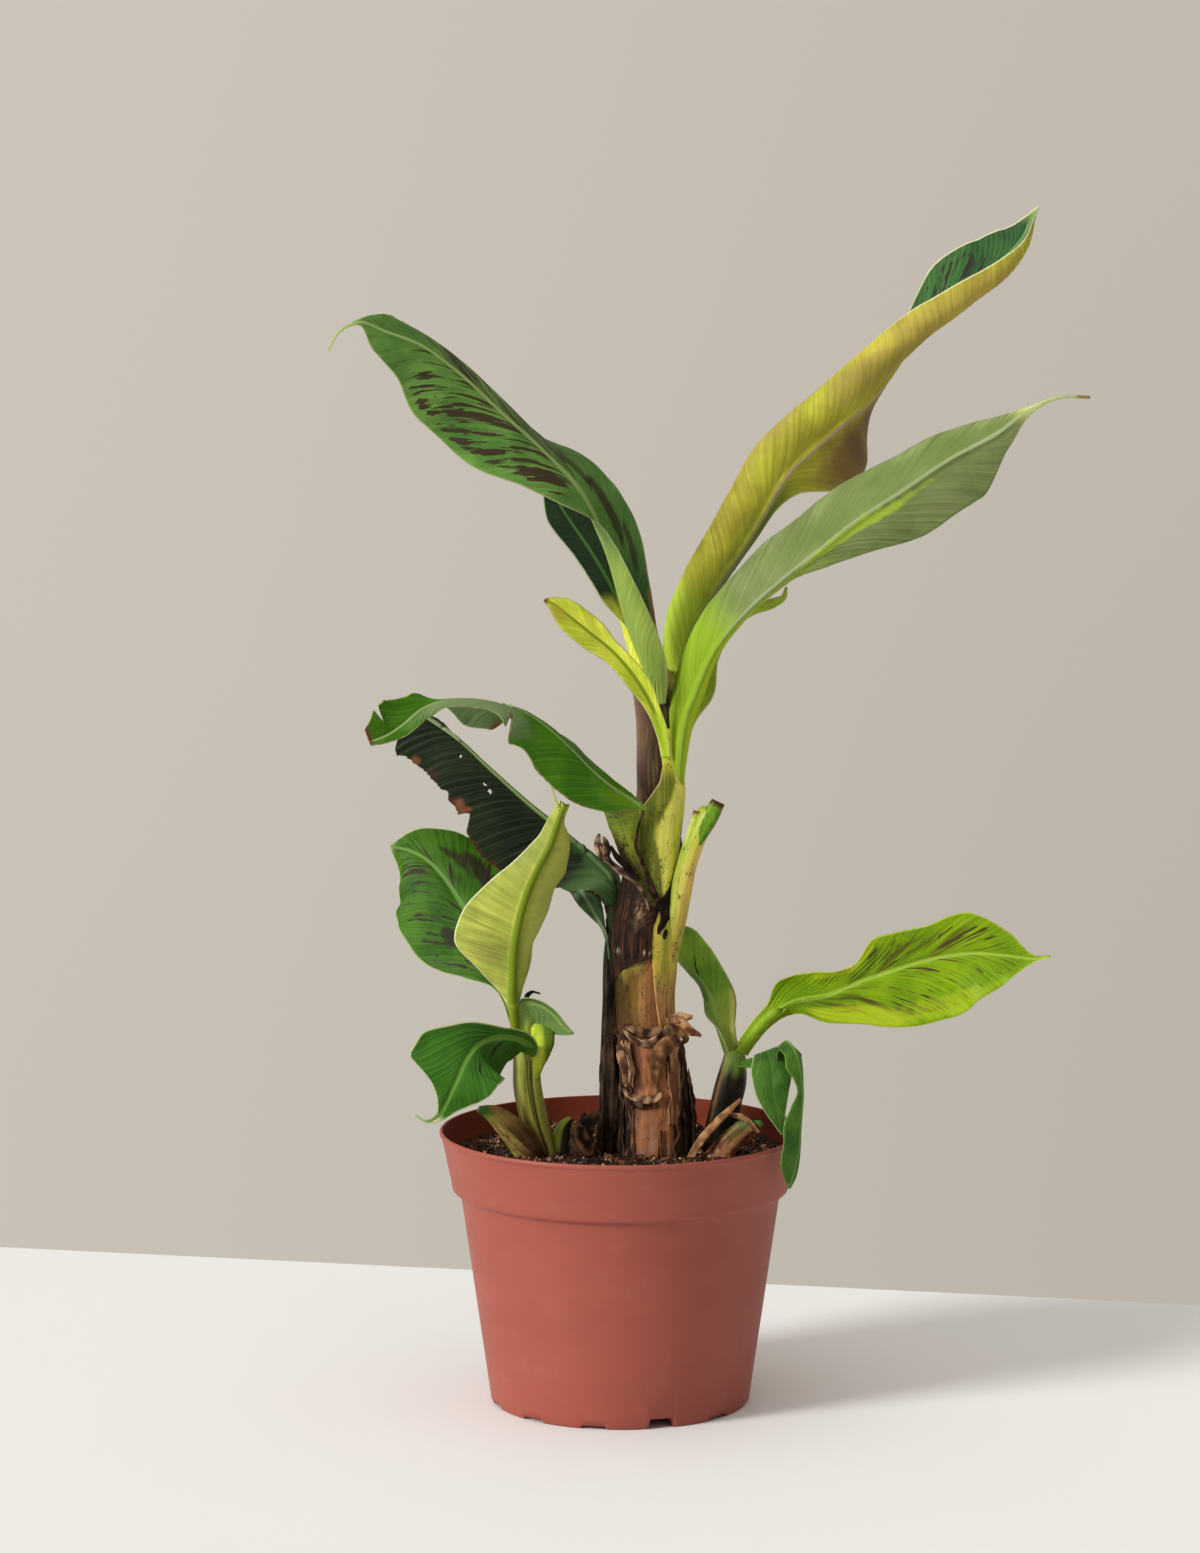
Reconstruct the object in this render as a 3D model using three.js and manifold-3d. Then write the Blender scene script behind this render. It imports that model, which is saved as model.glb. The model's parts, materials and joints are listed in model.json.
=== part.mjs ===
// Young dwarf banana plant in a ten-inch plastic nursery pot.
// Millimetres, +Z up. The origin is the middle of the pot's flat underside, and -Y is the front.
import * as THREE from 'three';
import { mergeVertices } from 'three/addons/utils/BufferGeometryUtils.js';
import Module from 'manifold-3d';

const wasm = await Module();
wasm.setup();

// Pot: a tapered body under a wider rim band
const POT_HEIGHT = 193;
const RIM_RADIUS = 127;
const RIM_LIP = 3.5;
const BAND_FOOT_RADIUS = 119;
const BAND_FOOT_Z = 157;
const BODY_TOP_RADIUS = 112;
const BODY_TOP_Z = 147;
const BASE_RADIUS = 91;
const BASE_CHAMFER = 3;
const WALL = 2.4;
const FLOOR = 3;
const POT_SIDES = 64;

// Drain gaps cut into the pot's bottom edge, one every 30 degrees, one of them taller
const DRAIN_GAPS = 12;
const DRAIN_WIDTH = 18;
const DRAIN_REACH = 9;
const DRAIN_HEIGHT = 2.4;
const TALL_DRAIN_HEIGHT = 7;
const FIRST_DRAIN_ANGLE = -72;
const TALL_DRAIN = 3;

// Soil: level in the middle, a little lower at the wall
const SOIL_Z = 172;
const SOIL_EDGE_DROP = 4;
const SOIL_LEVEL_RADIUS = 92;

// Pieces that meet keep this gap
const GAP = 0.3;

// A leaf solid is a little over a hundredth of its length thick
const THICKNESS_RATIO = 0.0105;
const LEAST_THICKNESS = 1.6;
const RIB_DEPTH = 1.4;
const LEAF_STEP = 15;
const HALF_COLUMNS = 3;
const ROLLED_COLUMNS = 5;
const LIMB_STEP = 14;
const LIMB_SIDES = 14;

// The front of the plant: what an unturned leaf faces
const FRONT = [0, -1, 0];

// Every leaf runs from its foot to its tip through a few stations. A station is the midrib's point,
// then the left and the right half-blade as seen on the upper face with the tip away: its width, and
// the direction it leaves the rib and reaches its margin in. Directions are degrees round the rib:
// 0 is to the right of the way the leaf grows, as seen from its face side, 90 is towards that side,
// 180 is to the left and -90 is away.
const LEAVES = {
  leaf_upper_left: { color: 0x3f7a34, stations: [
    [[27, -8, 497], [17, 80, -10], [12, -60, 0]],
    [[13, -11, 536], [21, 85, 0], [15, -50, 10]],
    [[1, -13, 577], [16, 85, 15], [20, -25, 0]],
    [[-11, -16, 609], [14, 95, 40], [27, -20, -30]],
    [[-29, -22, 645], [28, 125, 110], [29, -40, -60]],
    [[-52, -30, 671], [34, 145, 140], [38, -75, -95]],
    [[-82, -40, 699], [43, 165, 180], [42, -65, -115]],
    [[-109, -51, 725], [43, 172, 184], [42, -65, -115]],
    [[-136, -62, 745], [30, 172, 184], [30, -60, -95]],
    [[-159, -71, 754], [17, 172, 184], [17, -45, -65]],
    [[-176, -78, 760], [2.5, 172, 184], [3, -35, -60]],
    [[-189, -82, 754], [1.2, 172, 184], [1.2, -35, -60]],
    [[-197, -84, 741], [0.8, 172, 184], [0.8, -35, -60]]] },
  leaf_upper_left_back: { color: 0x2c4a24, stations: [
    [[19, 8, 499], [11, 90, 10], [10, -60, 0]],
    [[9, 13, 533], [10, 100, 30], [9, -50, 0]],
    [[-4, 26, 568], [12, 150, 140], [10, -40, -20]],
    [[-20, 47, 595], [12, 165, 165], [18, -30, -20]],
    [[-38, 68, 620], [14, 170, 170], [20, -30, -20]],
    [[-51, 82, 640], [5, 170, 170], [10, -30, -20]],
    [[-57, 87, 650], [1.2, 170, 170], [1.2, -30, -20]]] },
  leaf_top_right: { color: 0x9a9434, rolled: true, stations: [
    [[39, 6, 495], [9, -40, -100], [14, 200, 270]],
    [[48, 13, 537], [9, -30, -100], [24, 160, 260]],
    [[66, 23, 571], [8, -30, -90], [42, 150, 290]],
    [[85, 30, 598], [7, -30, -80], [50, 150, 300]],
    [[101, 37, 624], [7, -25, -50], [52, 150, 300]],
    [[115, 43, 648], [18, -20, -30], [53, 150, 300]],
    [[136, 52, 668], [38, -10, -30], [54, 150, 300]],
    [[159, 60, 687], [44, -40, -55], [54, 145, 300]],
    [[180, 69, 706], [44, -82, -90], [52, 120, 285]],
    [[199, 81, 731], [42, -84, -90], [48, 70, 250]],
    [[218, 91, 759], [38, -100, -110], [46, 25, 215]],
    [[240, 94, 779], [34, -130, -135], [42, 10, 195]],
    [[269, 98, 798], [28, -140, -140], [30, 5, 188]],
    [[283, 101, 812], [19, -145, -145], [16, 0, 170]],
    [[293, 105, 831], [3, -150, -150], [3, 0, 150]],
    [[296, 105, 836], [0.8, -150, -150], [0.8, 0, 150]]] },
  leaf_middle_right: { color: 0x6f8a55, stations: [
    [[41, -17, 449], [5, 0, -60], [8, 180, 240]],
    [[44, -20, 477], [6, 0, -70], [14, 180, 250]],
    [[51, -24, 502], [7, 0, -70], [20, 180, 250]],
    [[63, -30, 530], [6, -10, -80], [26, 185, 250]],
    [[87, -41, 562], [5, -20, -80], [34, 205, 250]],
    [[110, -52, 584], [5, -20, -50], [38, 210, 245]],
    [[132, -63, 603], [13, -10, -20], [36, 210, 245]],
    [[158, -74, 625], [26, -8, -22], [36, 210, 245]],
    [[188, -86, 646], [36, -8, -25], [32, 215, 245]],
    [[220, -100, 669], [36, -8, -25], [26, 215, 245]],
    [[252, -114, 688], [12, -8, -25], [14, 215, 245]],
    [[271, -122, 703], [2.5, -8, -25], [3, 215, 245]],
    [[291, -128, 712], [1, -8, -25], [1, 215, 245]],
    [[310, -133, 712], [0.8, -8, -25], [0.8, 215, 245]]] },
  leaf_young_front: { color: 0xa6c52a, stations: [
    [[31, -20, 458], [3, 185, 190], [3, -5, -10]],
    [[29, -24, 474], [4, 175, 170], [4, 5, 10]],
    [[22, -31, 494], [5, 165, 160], [5, 15, 20]],
    [[13, -37, 511], [8, 160, 160], [8, 20, 20]],
    [[-7, -47, 536], [9, 165, 165], [7, 15, 15]],
    [[-21, -54, 548], [11, 165, 165], [11, 15, 15]],
    [[-35, -62, 560], [10, 165, 165], [11, 15, 15]],
    [[-46, -68, 569], [5, 165, 165], [6, 15, 15]],
    [[-52, -71, 572], [0.9, 165, 165], [0.9, 15, 15]]] },
  leaf_young_back: { color: 0x9dbc2c, stations: [
    [[40, 7, 455], [4, -60, -60], [4, 240, 240]],
    [[48, 13, 478], [4, -40, -40], [5, 220, 220]],
    [[57, 22, 501], [6, 0, 0], [8, 200, 200]],
    [[66, 32, 524], [4, 0, -20], [9, 200, 200]],
    [[81, 45, 543], [4, -20, -20], [6, 200, 200]],
    [[96, 56, 552], [3, -40, -20], [3, 200, 200]],
    [[112, 63, 559], [1.5, -40, -20], [1.5, 200, 200]]] },
  leaf_arching_left: { color: 0x4a7d2c, stations: [
    [[16, -24, 355], [11, 100, 30], [9, -60, 0]],
    [[9, -28, 384], [11, 110, 40], [10, -60, 0]],
    [[2, -33, 412], [11, 120, 80], [10, -40, 0]],
    [[-2, -36, 427], [13, 165, 160], [13, -5, 0]],
    [[-7, -38, 437], [22, 165, 162], [16, -60, -60]],
    [[-16, -41, 448], [27, 165, 165], [24, -85, -90]],
    [[-35, -49, 470], [29, 165, 168], [30, -88, -98]],
    [[-55, -55, 488], [23, 150, 165], [30, -90, -120]],
    [[-79, -62, 501], [13, 140, 160], [28, -105, -165]],
    [[-103, -65, 505], [10, 130, 160], [26, -105, -160]],
    [[-123, -68, 504], [9, 130, 160], [6, -60, -70]],
    [[-140, -73, 495], [8, 170, 170], [17, -10, -10]],
    [[-149, -76, 482], [5, 170, 170], [24, 0, 0]],
    [[-156, -78, 470], [2, 170, 170], [13, 0, 0]]] },
  leaf_hanging_left: { color: 0x2e3b2a, stations: [
    [[-5, 4, 330], [6, 150, 140], [6, -60, -60]],
    [[-2, 8, 351], [10, 165, 165], [8, -60, -60]],
    [[-6, 13, 370], [22, 175, 180], [12, -60, -70]],
    [[-16, 17, 381], [30, 175, 180], [22, -70, -80]],
    [[-40, 24, 402], [44, 175, 182], [34, -80, -95]],
    [[-63, 30, 420], [48, 175, 182], [38, -80, -100]],
    [[-92, 37, 445], [38, 175, 182], [38, -80, -100]],
    [[-116, 44, 466], [33, 175, 182], [32, -80, -100]],
    [[-133, 48, 477], [24, 175, 182], [20, -80, -100]],
    [[-147, 52, 482], [2, 175, 182], [2, -80, -100]]] },
  left_shoot_leaf_back: { color: 0x3c7a24, stations: [
    [[-69, -8, 248], [3, 160, 180], [3, -20, 0]],
    [[-73, -5, 268], [4, 170, 180], [4, -15, 0]],
    [[-81, 7, 299], [12, 175, 175], [12, -10, 0]],
    [[-89, 15, 313], [27, 175, 180], [24, -10, 0]],
    [[-97, 25, 325], [40, 175, 180], [34, -10, 0]],
    [[-111, 41, 344], [47, 175, 185], [38, -10, 0]],
    [[-124, 54, 362], [46, 175, 190], [38, -10, -20]],
    [[-135, 62, 373], [38, 175, 190], [30, -10, -30]],
    [[-148, 69, 380], [26, 170, 190], [20, -10, -40]],
    [[-164, 77, 383], [1.5, 170, 190], [1.5, -10, -40]]] },
  left_shoot_leaf_upright: { color: 0xb5c45a, stations: [
    [[-73, -14, 260], [4, -40, -60], [4, 220, 240]],
    [[-75, -17, 285], [6, -30, -60], [6, 210, 230]],
    [[-75, -19, 306], [16, -40, -60], [24, 185, 205]],
    [[-74, -22, 324], [26, -50, -70], [44, 185, 205]],
    [[-71, -24, 342], [34, -50, -70], [41, 185, 205]],
    [[-66, -27, 361], [36, -50, -70], [29, 185, 210]],
    [[-59, -30, 379], [34, -45, -65], [18, 185, 215]],
    [[-49, -32, 399], [24, -40, -70], [11, 185, 230]],
    [[-42, -35, 419], [9, -30, -110], [9, 190, 270]],
    [[-38, -35, 428], [5, -20, -110], [5, 200, 280]]] },
  left_shoot_leaf_front: { color: 0x3f8a2a, stations: [
    [[-63, -26, 243], [4, 100, 100], [4, -60, -60]],
    [[-67, -34, 258], [10, 190, 190], [8, 0, 20]],
    [[-78, -43, 266], [22, 180, 172], [7, 0, 20]],
    [[-90, -51, 266], [28, 180, 172], [11, 0, 20]],
    [[-100, -60, 262], [36, 180, 172], [21, 0, 0]],
    [[-107, -67, 253], [27, 180, 172], [36, 0, 0]],
    [[-112, -74, 242], [17, 180, 172], [34, 0, 0]],
    [[-116, -78, 234], [10, 180, 172], [15, 0, 0]],
    [[-119, -82, 228], [6, 180, 172], [8, 0, 0]],
    [[-125, -86, 219], [2, 180, 172], [2, 0, 0]],
    [[-133, -89, 216], [1, 180, 172], [1, 0, 0]],
    [[-141, -90, 221], [0.8, 180, 172], [0.8, 0, 0]]] },
  left_shoot_leaf_small: { color: 0x7f9a62, stations: [
    [[-59, -8, 229], [6, -20, -60], [6, 200, 240]],
    [[-56, -3, 244], [8, 0, -40], [8, 180, 200]],
    [[-52, 5, 254], [9, 0, -60], [12, 180, 180]],
    [[-49, 13, 259], [12, -60, -90], [27, 180, 195]],
    [[-42, 21, 260], [12, -60, -90], [13, 180, 190]],
    [[-38, 26, 261], [7, -60, -90], [10, 180, 190]],
    [[-33, 28, 262], [1, -60, -90], [1, 180, 190]]] },
  right_shoot_leaf_back: { color: 0x3a6e30, stations: [
    [[78, 4, 241], [6, 100, 60], [8, -60, 0]],
    [[71, 9, 262], [6, 120, 90], [11, -40, 0]],
    [[65, 16, 280], [9, 200, 230], [17, -10, 0]],
    [[58, 26, 292], [14, 230, 260], [18, -10, 0]],
    [[47, 38, 303], [16, 240, 260], [21, -10, 0]],
    [[35, 50, 315], [15, 240, 260], [20, -10, 0]],
    [[21, 59, 331], [1.2, 240, 260], [1.5, -10, 0]]] },
  right_shoot_leaf_long: { color: 0x7fb41e, stations: [
    [[84, 2, 247], [8, 250, 210], [8, -60, -20]],
    [[94, 0, 261], [8, 240, 200], [8, -60, -20]],
    [[105, -4, 274], [8, 230, 190], [8, -50, -10]],
    [[121, -9, 285], [19, 190, 160], [11, -20, -10]],
    [[143, -16, 291], [19, 180, 150], [21, 0, 10]],
    [[166, -24, 302], [13, 170, 150], [34, 0, 10]],
    [[190, -34, 312], [29, 170, 150], [42, 0, 10]],
    [[217, -46, 322], [25, 170, 165], [43, 0, 10]],
    [[240, -56, 327], [30, 170, 165], [36, 0, 10]],
    [[263, -65, 327], [19, 170, 165], [21, 0, 10]],
    [[283, -72, 326], [2.5, 170, 165], [2.5, 0, 10]],
    [[293, -76, 328], [0.8, 170, 165], [0.8, 0, 10]]] },
  right_shoot_leaf_hanging: { color: 0x3d7a30, face: [0.45, -0.45, 0.8], stations: [
    [[82, -4, 246], [6, 200, 200], [6, -20, -20]],
    [[90, -12, 252], [8, 210, 210], [24, -78, -88]],
    [[101, -26, 258], [10, 215, 215], [46, -82, -96]],
    [[110, -40, 263], [14, 215, 215], [62, -85, -101]],
    [[115, -49, 265], [16, 215, 215], [9, -50, -50]],
    [[121, -59, 259], [12, 215, 215], [7, -30, -30]],
    [[122, -66, 237], [4, 210, 220], [7, -10, -10]],
    [[122, -70, 213], [3, 220, 230], [14, -10, -10]],
    [[121, -73, 189], [3, 210, 220], [13, -5, -5]],
    [[119, -74, 176], [3, 190, 190], [9, -5, -5]],
    [[116, -74, 166], [1, 180, 180], [1, 0, 0]]] }
};

// Leaf sheaths that wrap a stem, live and dead, are short leaves with no blade
const SHEATHS = {
  front_sheath: { color: 0x9fb432, stations: [
    [[31, -23, 358], [2, 180, 190], [2, 0, -10]],
    [[30, -21.5, 378], [10, 185, 215], [10, -5, -35]],
    [[33, -19, 403], [9, 185, 215], [9, -5, -35]],
    [[35, -18, 428], [9, 190, 220], [9, -10, -40]],
    [[33, -17.5, 450], [7, 185, 205], [7, -5, -25]],
    [[31, -18.5, 470], [6, 185, 205], [6, -5, -25]]] },
  dry_sheath: { color: 0x3a2418, stations: [
    [[14, -24, 318], [17, 175, 245], [17, 5, -65]],
    [[15, -25.5, 345], [19, 175, 245], [19, 5, -65]],
    [[13, -24.5, 378], [13, 175, 235], [13, 5, -55]]] },
  left_cut_sheath: { color: 0x9a8a4a, stations: [
    [[-60, -24, 172], [9, -5, -60], [9, 185, 240]],
    [[-68, -28, 188], [9, -5, -60], [10, 185, 240]],
    [[-79, -33, 202], [7, -5, -50], [8, 185, 230]],
    [[-90, -36, 211], [5, -5, -40], [5, 185, 220]],
    [[-99, -38, 215], [1.5, -5, -40], [1.5, 185, 220]]] },
  right_cut_sheath: { color: 0x7a5238, stations: [
    [[66, -20, 172], [10, -5, -60], [10, 185, 240]],
    [[75, -24, 186], [9, -5, -60], [9, 185, 240]],
    [[86, -27, 197], [7, -5, -50], [7, 185, 230]],
    [[99, -29, 203], [1.5, -5, -40], [1.5, 185, 220]]] }
};

// Stems and stubs: points on the middle line with the radius there
const LIMBS = {
  trunk: { color: 0x8a5f38, stations: [
    [[24, 0, 165], 28], [[24, 0, 189], 26], [[24, 0, 217], 24], [[21, 0, 249], 21.5], [[17, 0, 281], 19.5],
    [[17, 0, 306], 20.5], [[18, 0, 331], 22], [[20, 0, 356], 20], [[23, 0, 380], 17.5], [[25, 0, 405], 15.5],
    [[27, 0, 433], 14.5], [[27, 0, 461], 14.5], [[29, 0, 486], 16], [[30, 0, 503], 13]] },
  side_stem: { color: 0x35281e, stations: [
    [[-7, 2, 165], 11], [[-6, 4, 213], 9], [[-6, 5, 248], 8], [[-5, 6, 284], 7], [[-5, 6, 312], 6.3],
    [[-5, 6, 328], 6]] },
  cut_petiole: { color: 0xb0a838, stations: [
    [[39, -13, 333], 7], [[41, -15, 358], 7.5], [[46, -17, 383], 7], [[53, -18, 404], 7], [[63, -18, 423], 8]] },
  dry_stub: { color: 0x4a3020, stations: [
    [[13, -30, 374], 2.5], [[-1, -32, 382], 2.5], [[-10, -33, 390], 4], [[-14, -33, 399], 6], [[-16, -33, 406], 3.5]] },
  left_shoot_stem: { color: 0x7c8440, stations: [
    [[-52, -12, 165], 9.5], [[-53, -12, 177], 9], [[-60, -14, 201], 9.5], [[-65, -16, 227], 10], [[-66, -16, 246], 9],
    [[-70, -15, 263], 6]] },
  middle_shoot: { color: 0x8a9a34, stations: [
    [[-42, -8, 165], 8.5], [[-42, -8, 184], 7.5], [[-39, -8, 197], 4.5], [[-34, -9, 203], 1.5]] },
  dead_shoot: { color: 0x2a1c14, stations: [
    [[-25, -14, 165], 8], [[-26, -14, 186], 7], [[-26, -15, 200], 3.5], [[-25, -16, 208], 1.5]] },
  right_shoot_stem: { color: 0x3a3a22, stations: [
    [[68, 2, 165], 12.5], [[69, 2, 176], 12], [[73, 2, 205], 11], [[78, 2, 227], 10.5], [[81, 1, 249], 7]] }
};

// Solids are made in this order, and each keeps clear of those before it
const BUILD_ORDER = [
  'trunk', 'side_stem', 'left_shoot_stem', 'right_shoot_stem', 'middle_shoot', 'dead_shoot',
  'front_sheath', 'cut_petiole', 'leaf_middle_right', 'leaf_upper_left', 'leaf_top_right',
  'leaf_young_front', 'leaf_upper_left_back', 'leaf_young_back', 'leaf_arching_left', 'dry_sheath',
  'dry_stub', 'leaf_hanging_left', 'left_cut_sheath', 'right_cut_sheath', 'left_shoot_leaf_upright',
  'left_shoot_leaf_front', 'left_shoot_leaf_small', 'left_shoot_leaf_back', 'right_shoot_leaf_long',
  'right_shoot_leaf_hanging', 'right_shoot_leaf_back'
];

const plant = new THREE.Group();

function material(color, roughness) {
  return new THREE.MeshStandardMaterial({ color, roughness, metalness: 0, side: THREE.FrontSide });
}

// Closed geometry to a solid and back
function toSolid(geometry) {
  const bare = geometry.clone();
  bare.deleteAttribute('normal');
  bare.deleteAttribute('uv');
  const merged = mergeVertices(bare, 1e-4);
  const corners = merged.index.array;
  const kept = [];
  for (let i = 0; i < corners.length; i += 3) {
    const [a, b, c] = [corners[i], corners[i + 1], corners[i + 2]];
    if (a !== b && b !== c && c !== a) kept.push(a, b, c);
  }
  return new wasm.Manifold(new wasm.Mesh({
    numProp: 3,
    vertProperties: Float32Array.from(merged.attributes.position.array),
    triVerts: Uint32Array.from(kept)
  }));
}

function toGeometry(solid) {
  const mesh = solid.getMesh();
  const geometry = new THREE.BufferGeometry();
  geometry.setAttribute('position', new THREE.Float32BufferAttribute(mesh.vertProperties, 3));
  geometry.setIndex(Array.from(mesh.triVerts));
  geometry.computeVertexNormals();
  return geometry;
}

function largestPiece(solid) {
  const pieces = solid.decompose();
  pieces.sort((a, b) => b.volume() - a.volume());
  return pieces[0];
}

function addMesh(name, solid, color, roughness) {
  const mesh = new THREE.Mesh(toGeometry(solid), material(color, roughness));
  mesh.name = name;
  plant.add(mesh);
}

// A smooth run of rows through the stations. The first three values of a station are its point.
// The others, such as widths and angles, never overshoot their stations.
function smoothRows(stations, step) {
  const chords = stations.slice(1).map((s, i) => Math.hypot(s[0] - stations[i][0], s[1] - stations[i][1],
    s[2] - stations[i][2]));
  const slopes = stations.map((s, i) => s.map((value, k) => {
    const before = i > 0 ? (value - stations[i - 1][k]) / chords[i - 1] : null;
    const after = i < chords.length ? (stations[i + 1][k] - value) / chords[i] : null;
    if (before === null) return after;
    if (after === null) return before;
    if (k > 2 && before * after <= 0) return 0;
    return (before * chords[i] + after * chords[i - 1]) / (chords[i - 1] + chords[i]);
  }));
  const rows = [];
  chords.forEach((chord, i) => {
    const steps = Math.max(1, Math.round(chord / step));
    for (let n = 0; n < steps; n++) rows.push(hermiteRow(stations, slopes, chord, i, n / steps));
  });
  rows.push(stations[stations.length - 1]);
  return rows;
}

function hermiteRow(stations, slopes, chord, i, s) {
  const startWeight = 2 * s ** 3 - 3 * s ** 2 + 1;
  const startSlope = (s ** 3 - 2 * s ** 2 + s) * chord;
  const endSlope = (s ** 3 - s ** 2) * chord;
  return stations[i].map((value, k) => startWeight * value + startSlope * slopes[i][k] +
    (1 - startWeight) * stations[i + 1][k] + endSlope * slopes[i + 1][k]);
}

// The directions across a row: side points to the right of the way of growth, front to the face side
function rowFrames(rows, face) {
  const points = rows.map((row) => new THREE.Vector3(row[0], row[1], row[2]));
  return points.map((point, i) => {
    const along = points[Math.min(i + 1, points.length - 1)].clone().sub(points[Math.max(i - 1, 0)]).normalize();
    const front = new THREE.Vector3(...face);
    front.addScaledVector(along, -front.dot(along)).normalize();
    const side = new THREE.Vector3().crossVectors(along, front);
    return { point, along, front, side };
  });
}

// One half-blade, from the rib outwards: points, and the upper face's normal at each of them
function halfBlade(frame, [width, startAngle, endAngle], turn, columns) {
  const substeps = 4;
  const total = columns * substeps;
  const place = frame.point.clone();
  const points = [];
  const normals = [];
  const angleAt = (t) => THREE.MathUtils.degToRad(startAngle + (endAngle - startAngle) * t * t * (3 - 2 * t));
  const direction = (angle) => frame.side.clone().multiplyScalar(Math.cos(angle))
    .addScaledVector(frame.front, Math.sin(angle));
  for (let k = 0; k <= total; k++) {
    if (k % substeps === 0) {
      points.push(place.clone());
      normals.push(direction(angleAt(k / total) + turn * Math.PI / 2));
    }
    place.addScaledVector(direction(angleAt((k + 0.5) / total)), width / total);
  }
  return { points, normals };
}

// A leaf as one swept slab with a rib under it. Grow widens it all round, to cut its neighbours with.
function leafSolid({ stations, face = FRONT, rolled = false }, grow) {
  const columns = rolled ? ROLLED_COLUMNS : HALF_COLUMNS;
  const rows = smoothRows(stations.map((station) => station.flat()), LEAF_STEP);
  const frames = rowFrames(rows, face);
  const length = frames.slice(1).reduce((sum, f, i) => sum + f.point.distanceTo(frames[i].point), 0);
  const thickness = Math.max(LEAST_THICKNESS, length * THICKNESS_RATIO) + 2 * grow;
  frames[0].point.addScaledVector(frames[0].along, -grow);
  frames[frames.length - 1].point.addScaledVector(frames[frames.length - 1].along, grow);
  const upper = [];
  const lower = [];
  frames.forEach((frame, i) => {
    const values = rows[i];
    const left = halfBlade(frame, [values[3] + grow, values[4], values[5]], -1, columns);
    const right = halfBlade(frame, [values[6] + grow, values[7], values[8]], 1, columns);
    const ribNormal = left.normals[0].clone().add(right.normals[0]).normalize();
    const points = [...left.points.slice(1).reverse(), frame.point, ...right.points.slice(1)];
    const normals = [...left.normals.slice(1).reverse(), ribNormal, ...right.normals.slice(1)];
    const ribShare = Math.min(1, (values[3] + values[6]) / 20);
    points.forEach((point, j) => {
      const rib = j === columns ? RIB_DEPTH * ribShare : 0;
      upper.push(point.clone().addScaledVector(normals[j], thickness / 2));
      lower.push(point.clone().addScaledVector(normals[j], -thickness / 2 - rib));
    });
  });
  return slabSolid(upper, lower, frames.length, 2 * columns + 1);
}

function slabSolid(upper, lower, rowCount, columnCount) {
  const positions = [...upper, ...lower].flatMap((point) => point.toArray());
  const under = upper.length;
  const index = [];
  const quad = (a, b, c, d) => index.push(a, b, c, a, c, d);
  for (let i = 0; i < rowCount - 1; i++) {
    for (let j = 0; j < columnCount - 1; j++) {
      const a = i * columnCount + j;
      const d = a + columnCount;
      quad(a, a + 1, d + 1, d);
      quad(under + a, under + d, under + d + 1, under + a + 1);
    }
    const first = i * columnCount;
    const last = first + columnCount - 1;
    quad(first, first + columnCount, under + first + columnCount, under + first);
    quad(last, under + last, under + last + columnCount, last + columnCount);
  }
  const end = (rowCount - 1) * columnCount;
  for (let j = 0; j < columnCount - 1; j++) {
    quad(j, under + j, under + j + 1, j + 1);
    quad(end + j, end + j + 1, under + end + j + 1, under + end + j);
  }
  const geometry = new THREE.BufferGeometry();
  geometry.setAttribute('position', new THREE.Float32BufferAttribute(positions, 3));
  geometry.setIndex(index);
  return toSolid(geometry);
}

// A round tapering limb with flat ends
function limbSolid({ stations }, grow) {
  const rows = smoothRows(stations.map((station) => station.flat()), LIMB_STEP);
  const frames = rowFrames(rows, FRONT);
  frames[0].point.addScaledVector(frames[0].along, -grow);
  frames[frames.length - 1].point.addScaledVector(frames[frames.length - 1].along, grow);
  const positions = [];
  frames.forEach((frame, i) => {
    for (let k = 0; k < LIMB_SIDES; k++) {
      const angle = (2 * Math.PI * k) / LIMB_SIDES;
      positions.push(...frame.point.clone().addScaledVector(frame.side, Math.cos(angle) * (rows[i][3] + grow))
        .addScaledVector(frame.front, Math.sin(angle) * (rows[i][3] + grow)).toArray());
    }
  });
  const foot = positions.length / 3;
  positions.push(...frames[0].point.toArray(), ...frames[frames.length - 1].point.toArray());
  const index = [];
  for (let k = 0; k < LIMB_SIDES; k++) {
    const next = (k + 1) % LIMB_SIDES;
    for (let i = 0; i < frames.length - 1; i++) {
      const a = i * LIMB_SIDES + k;
      const b = i * LIMB_SIDES + next;
      index.push(a, b + LIMB_SIDES, b, a, a + LIMB_SIDES, b + LIMB_SIDES);
    }
    const top = (frames.length - 1) * LIMB_SIDES;
    index.push(foot, k, next, foot + 1, top + next, top + k);
  }
  const geometry = new THREE.BufferGeometry();
  geometry.setAttribute('position', new THREE.Float32BufferAttribute(positions, 3));
  geometry.setIndex(index);
  return toSolid(geometry);
}

// A profile of radius and height turned round the Z axis
function turnedSolid(profile, sides) {
  const points = [...profile, profile[0]].map(([radius, z]) => new THREE.Vector2(radius, z));
  return toSolid(new THREE.LatheGeometry(points, sides).rotateX(Math.PI / 2));
}

function boxSolid(width, depth, height, x, y, z) {
  return toSolid(new THREE.BoxGeometry(width, depth, height).translate(x, y, z));
}

const bodySlope = (BODY_TOP_RADIUS - BASE_RADIUS) / BODY_TOP_Z;

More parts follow.
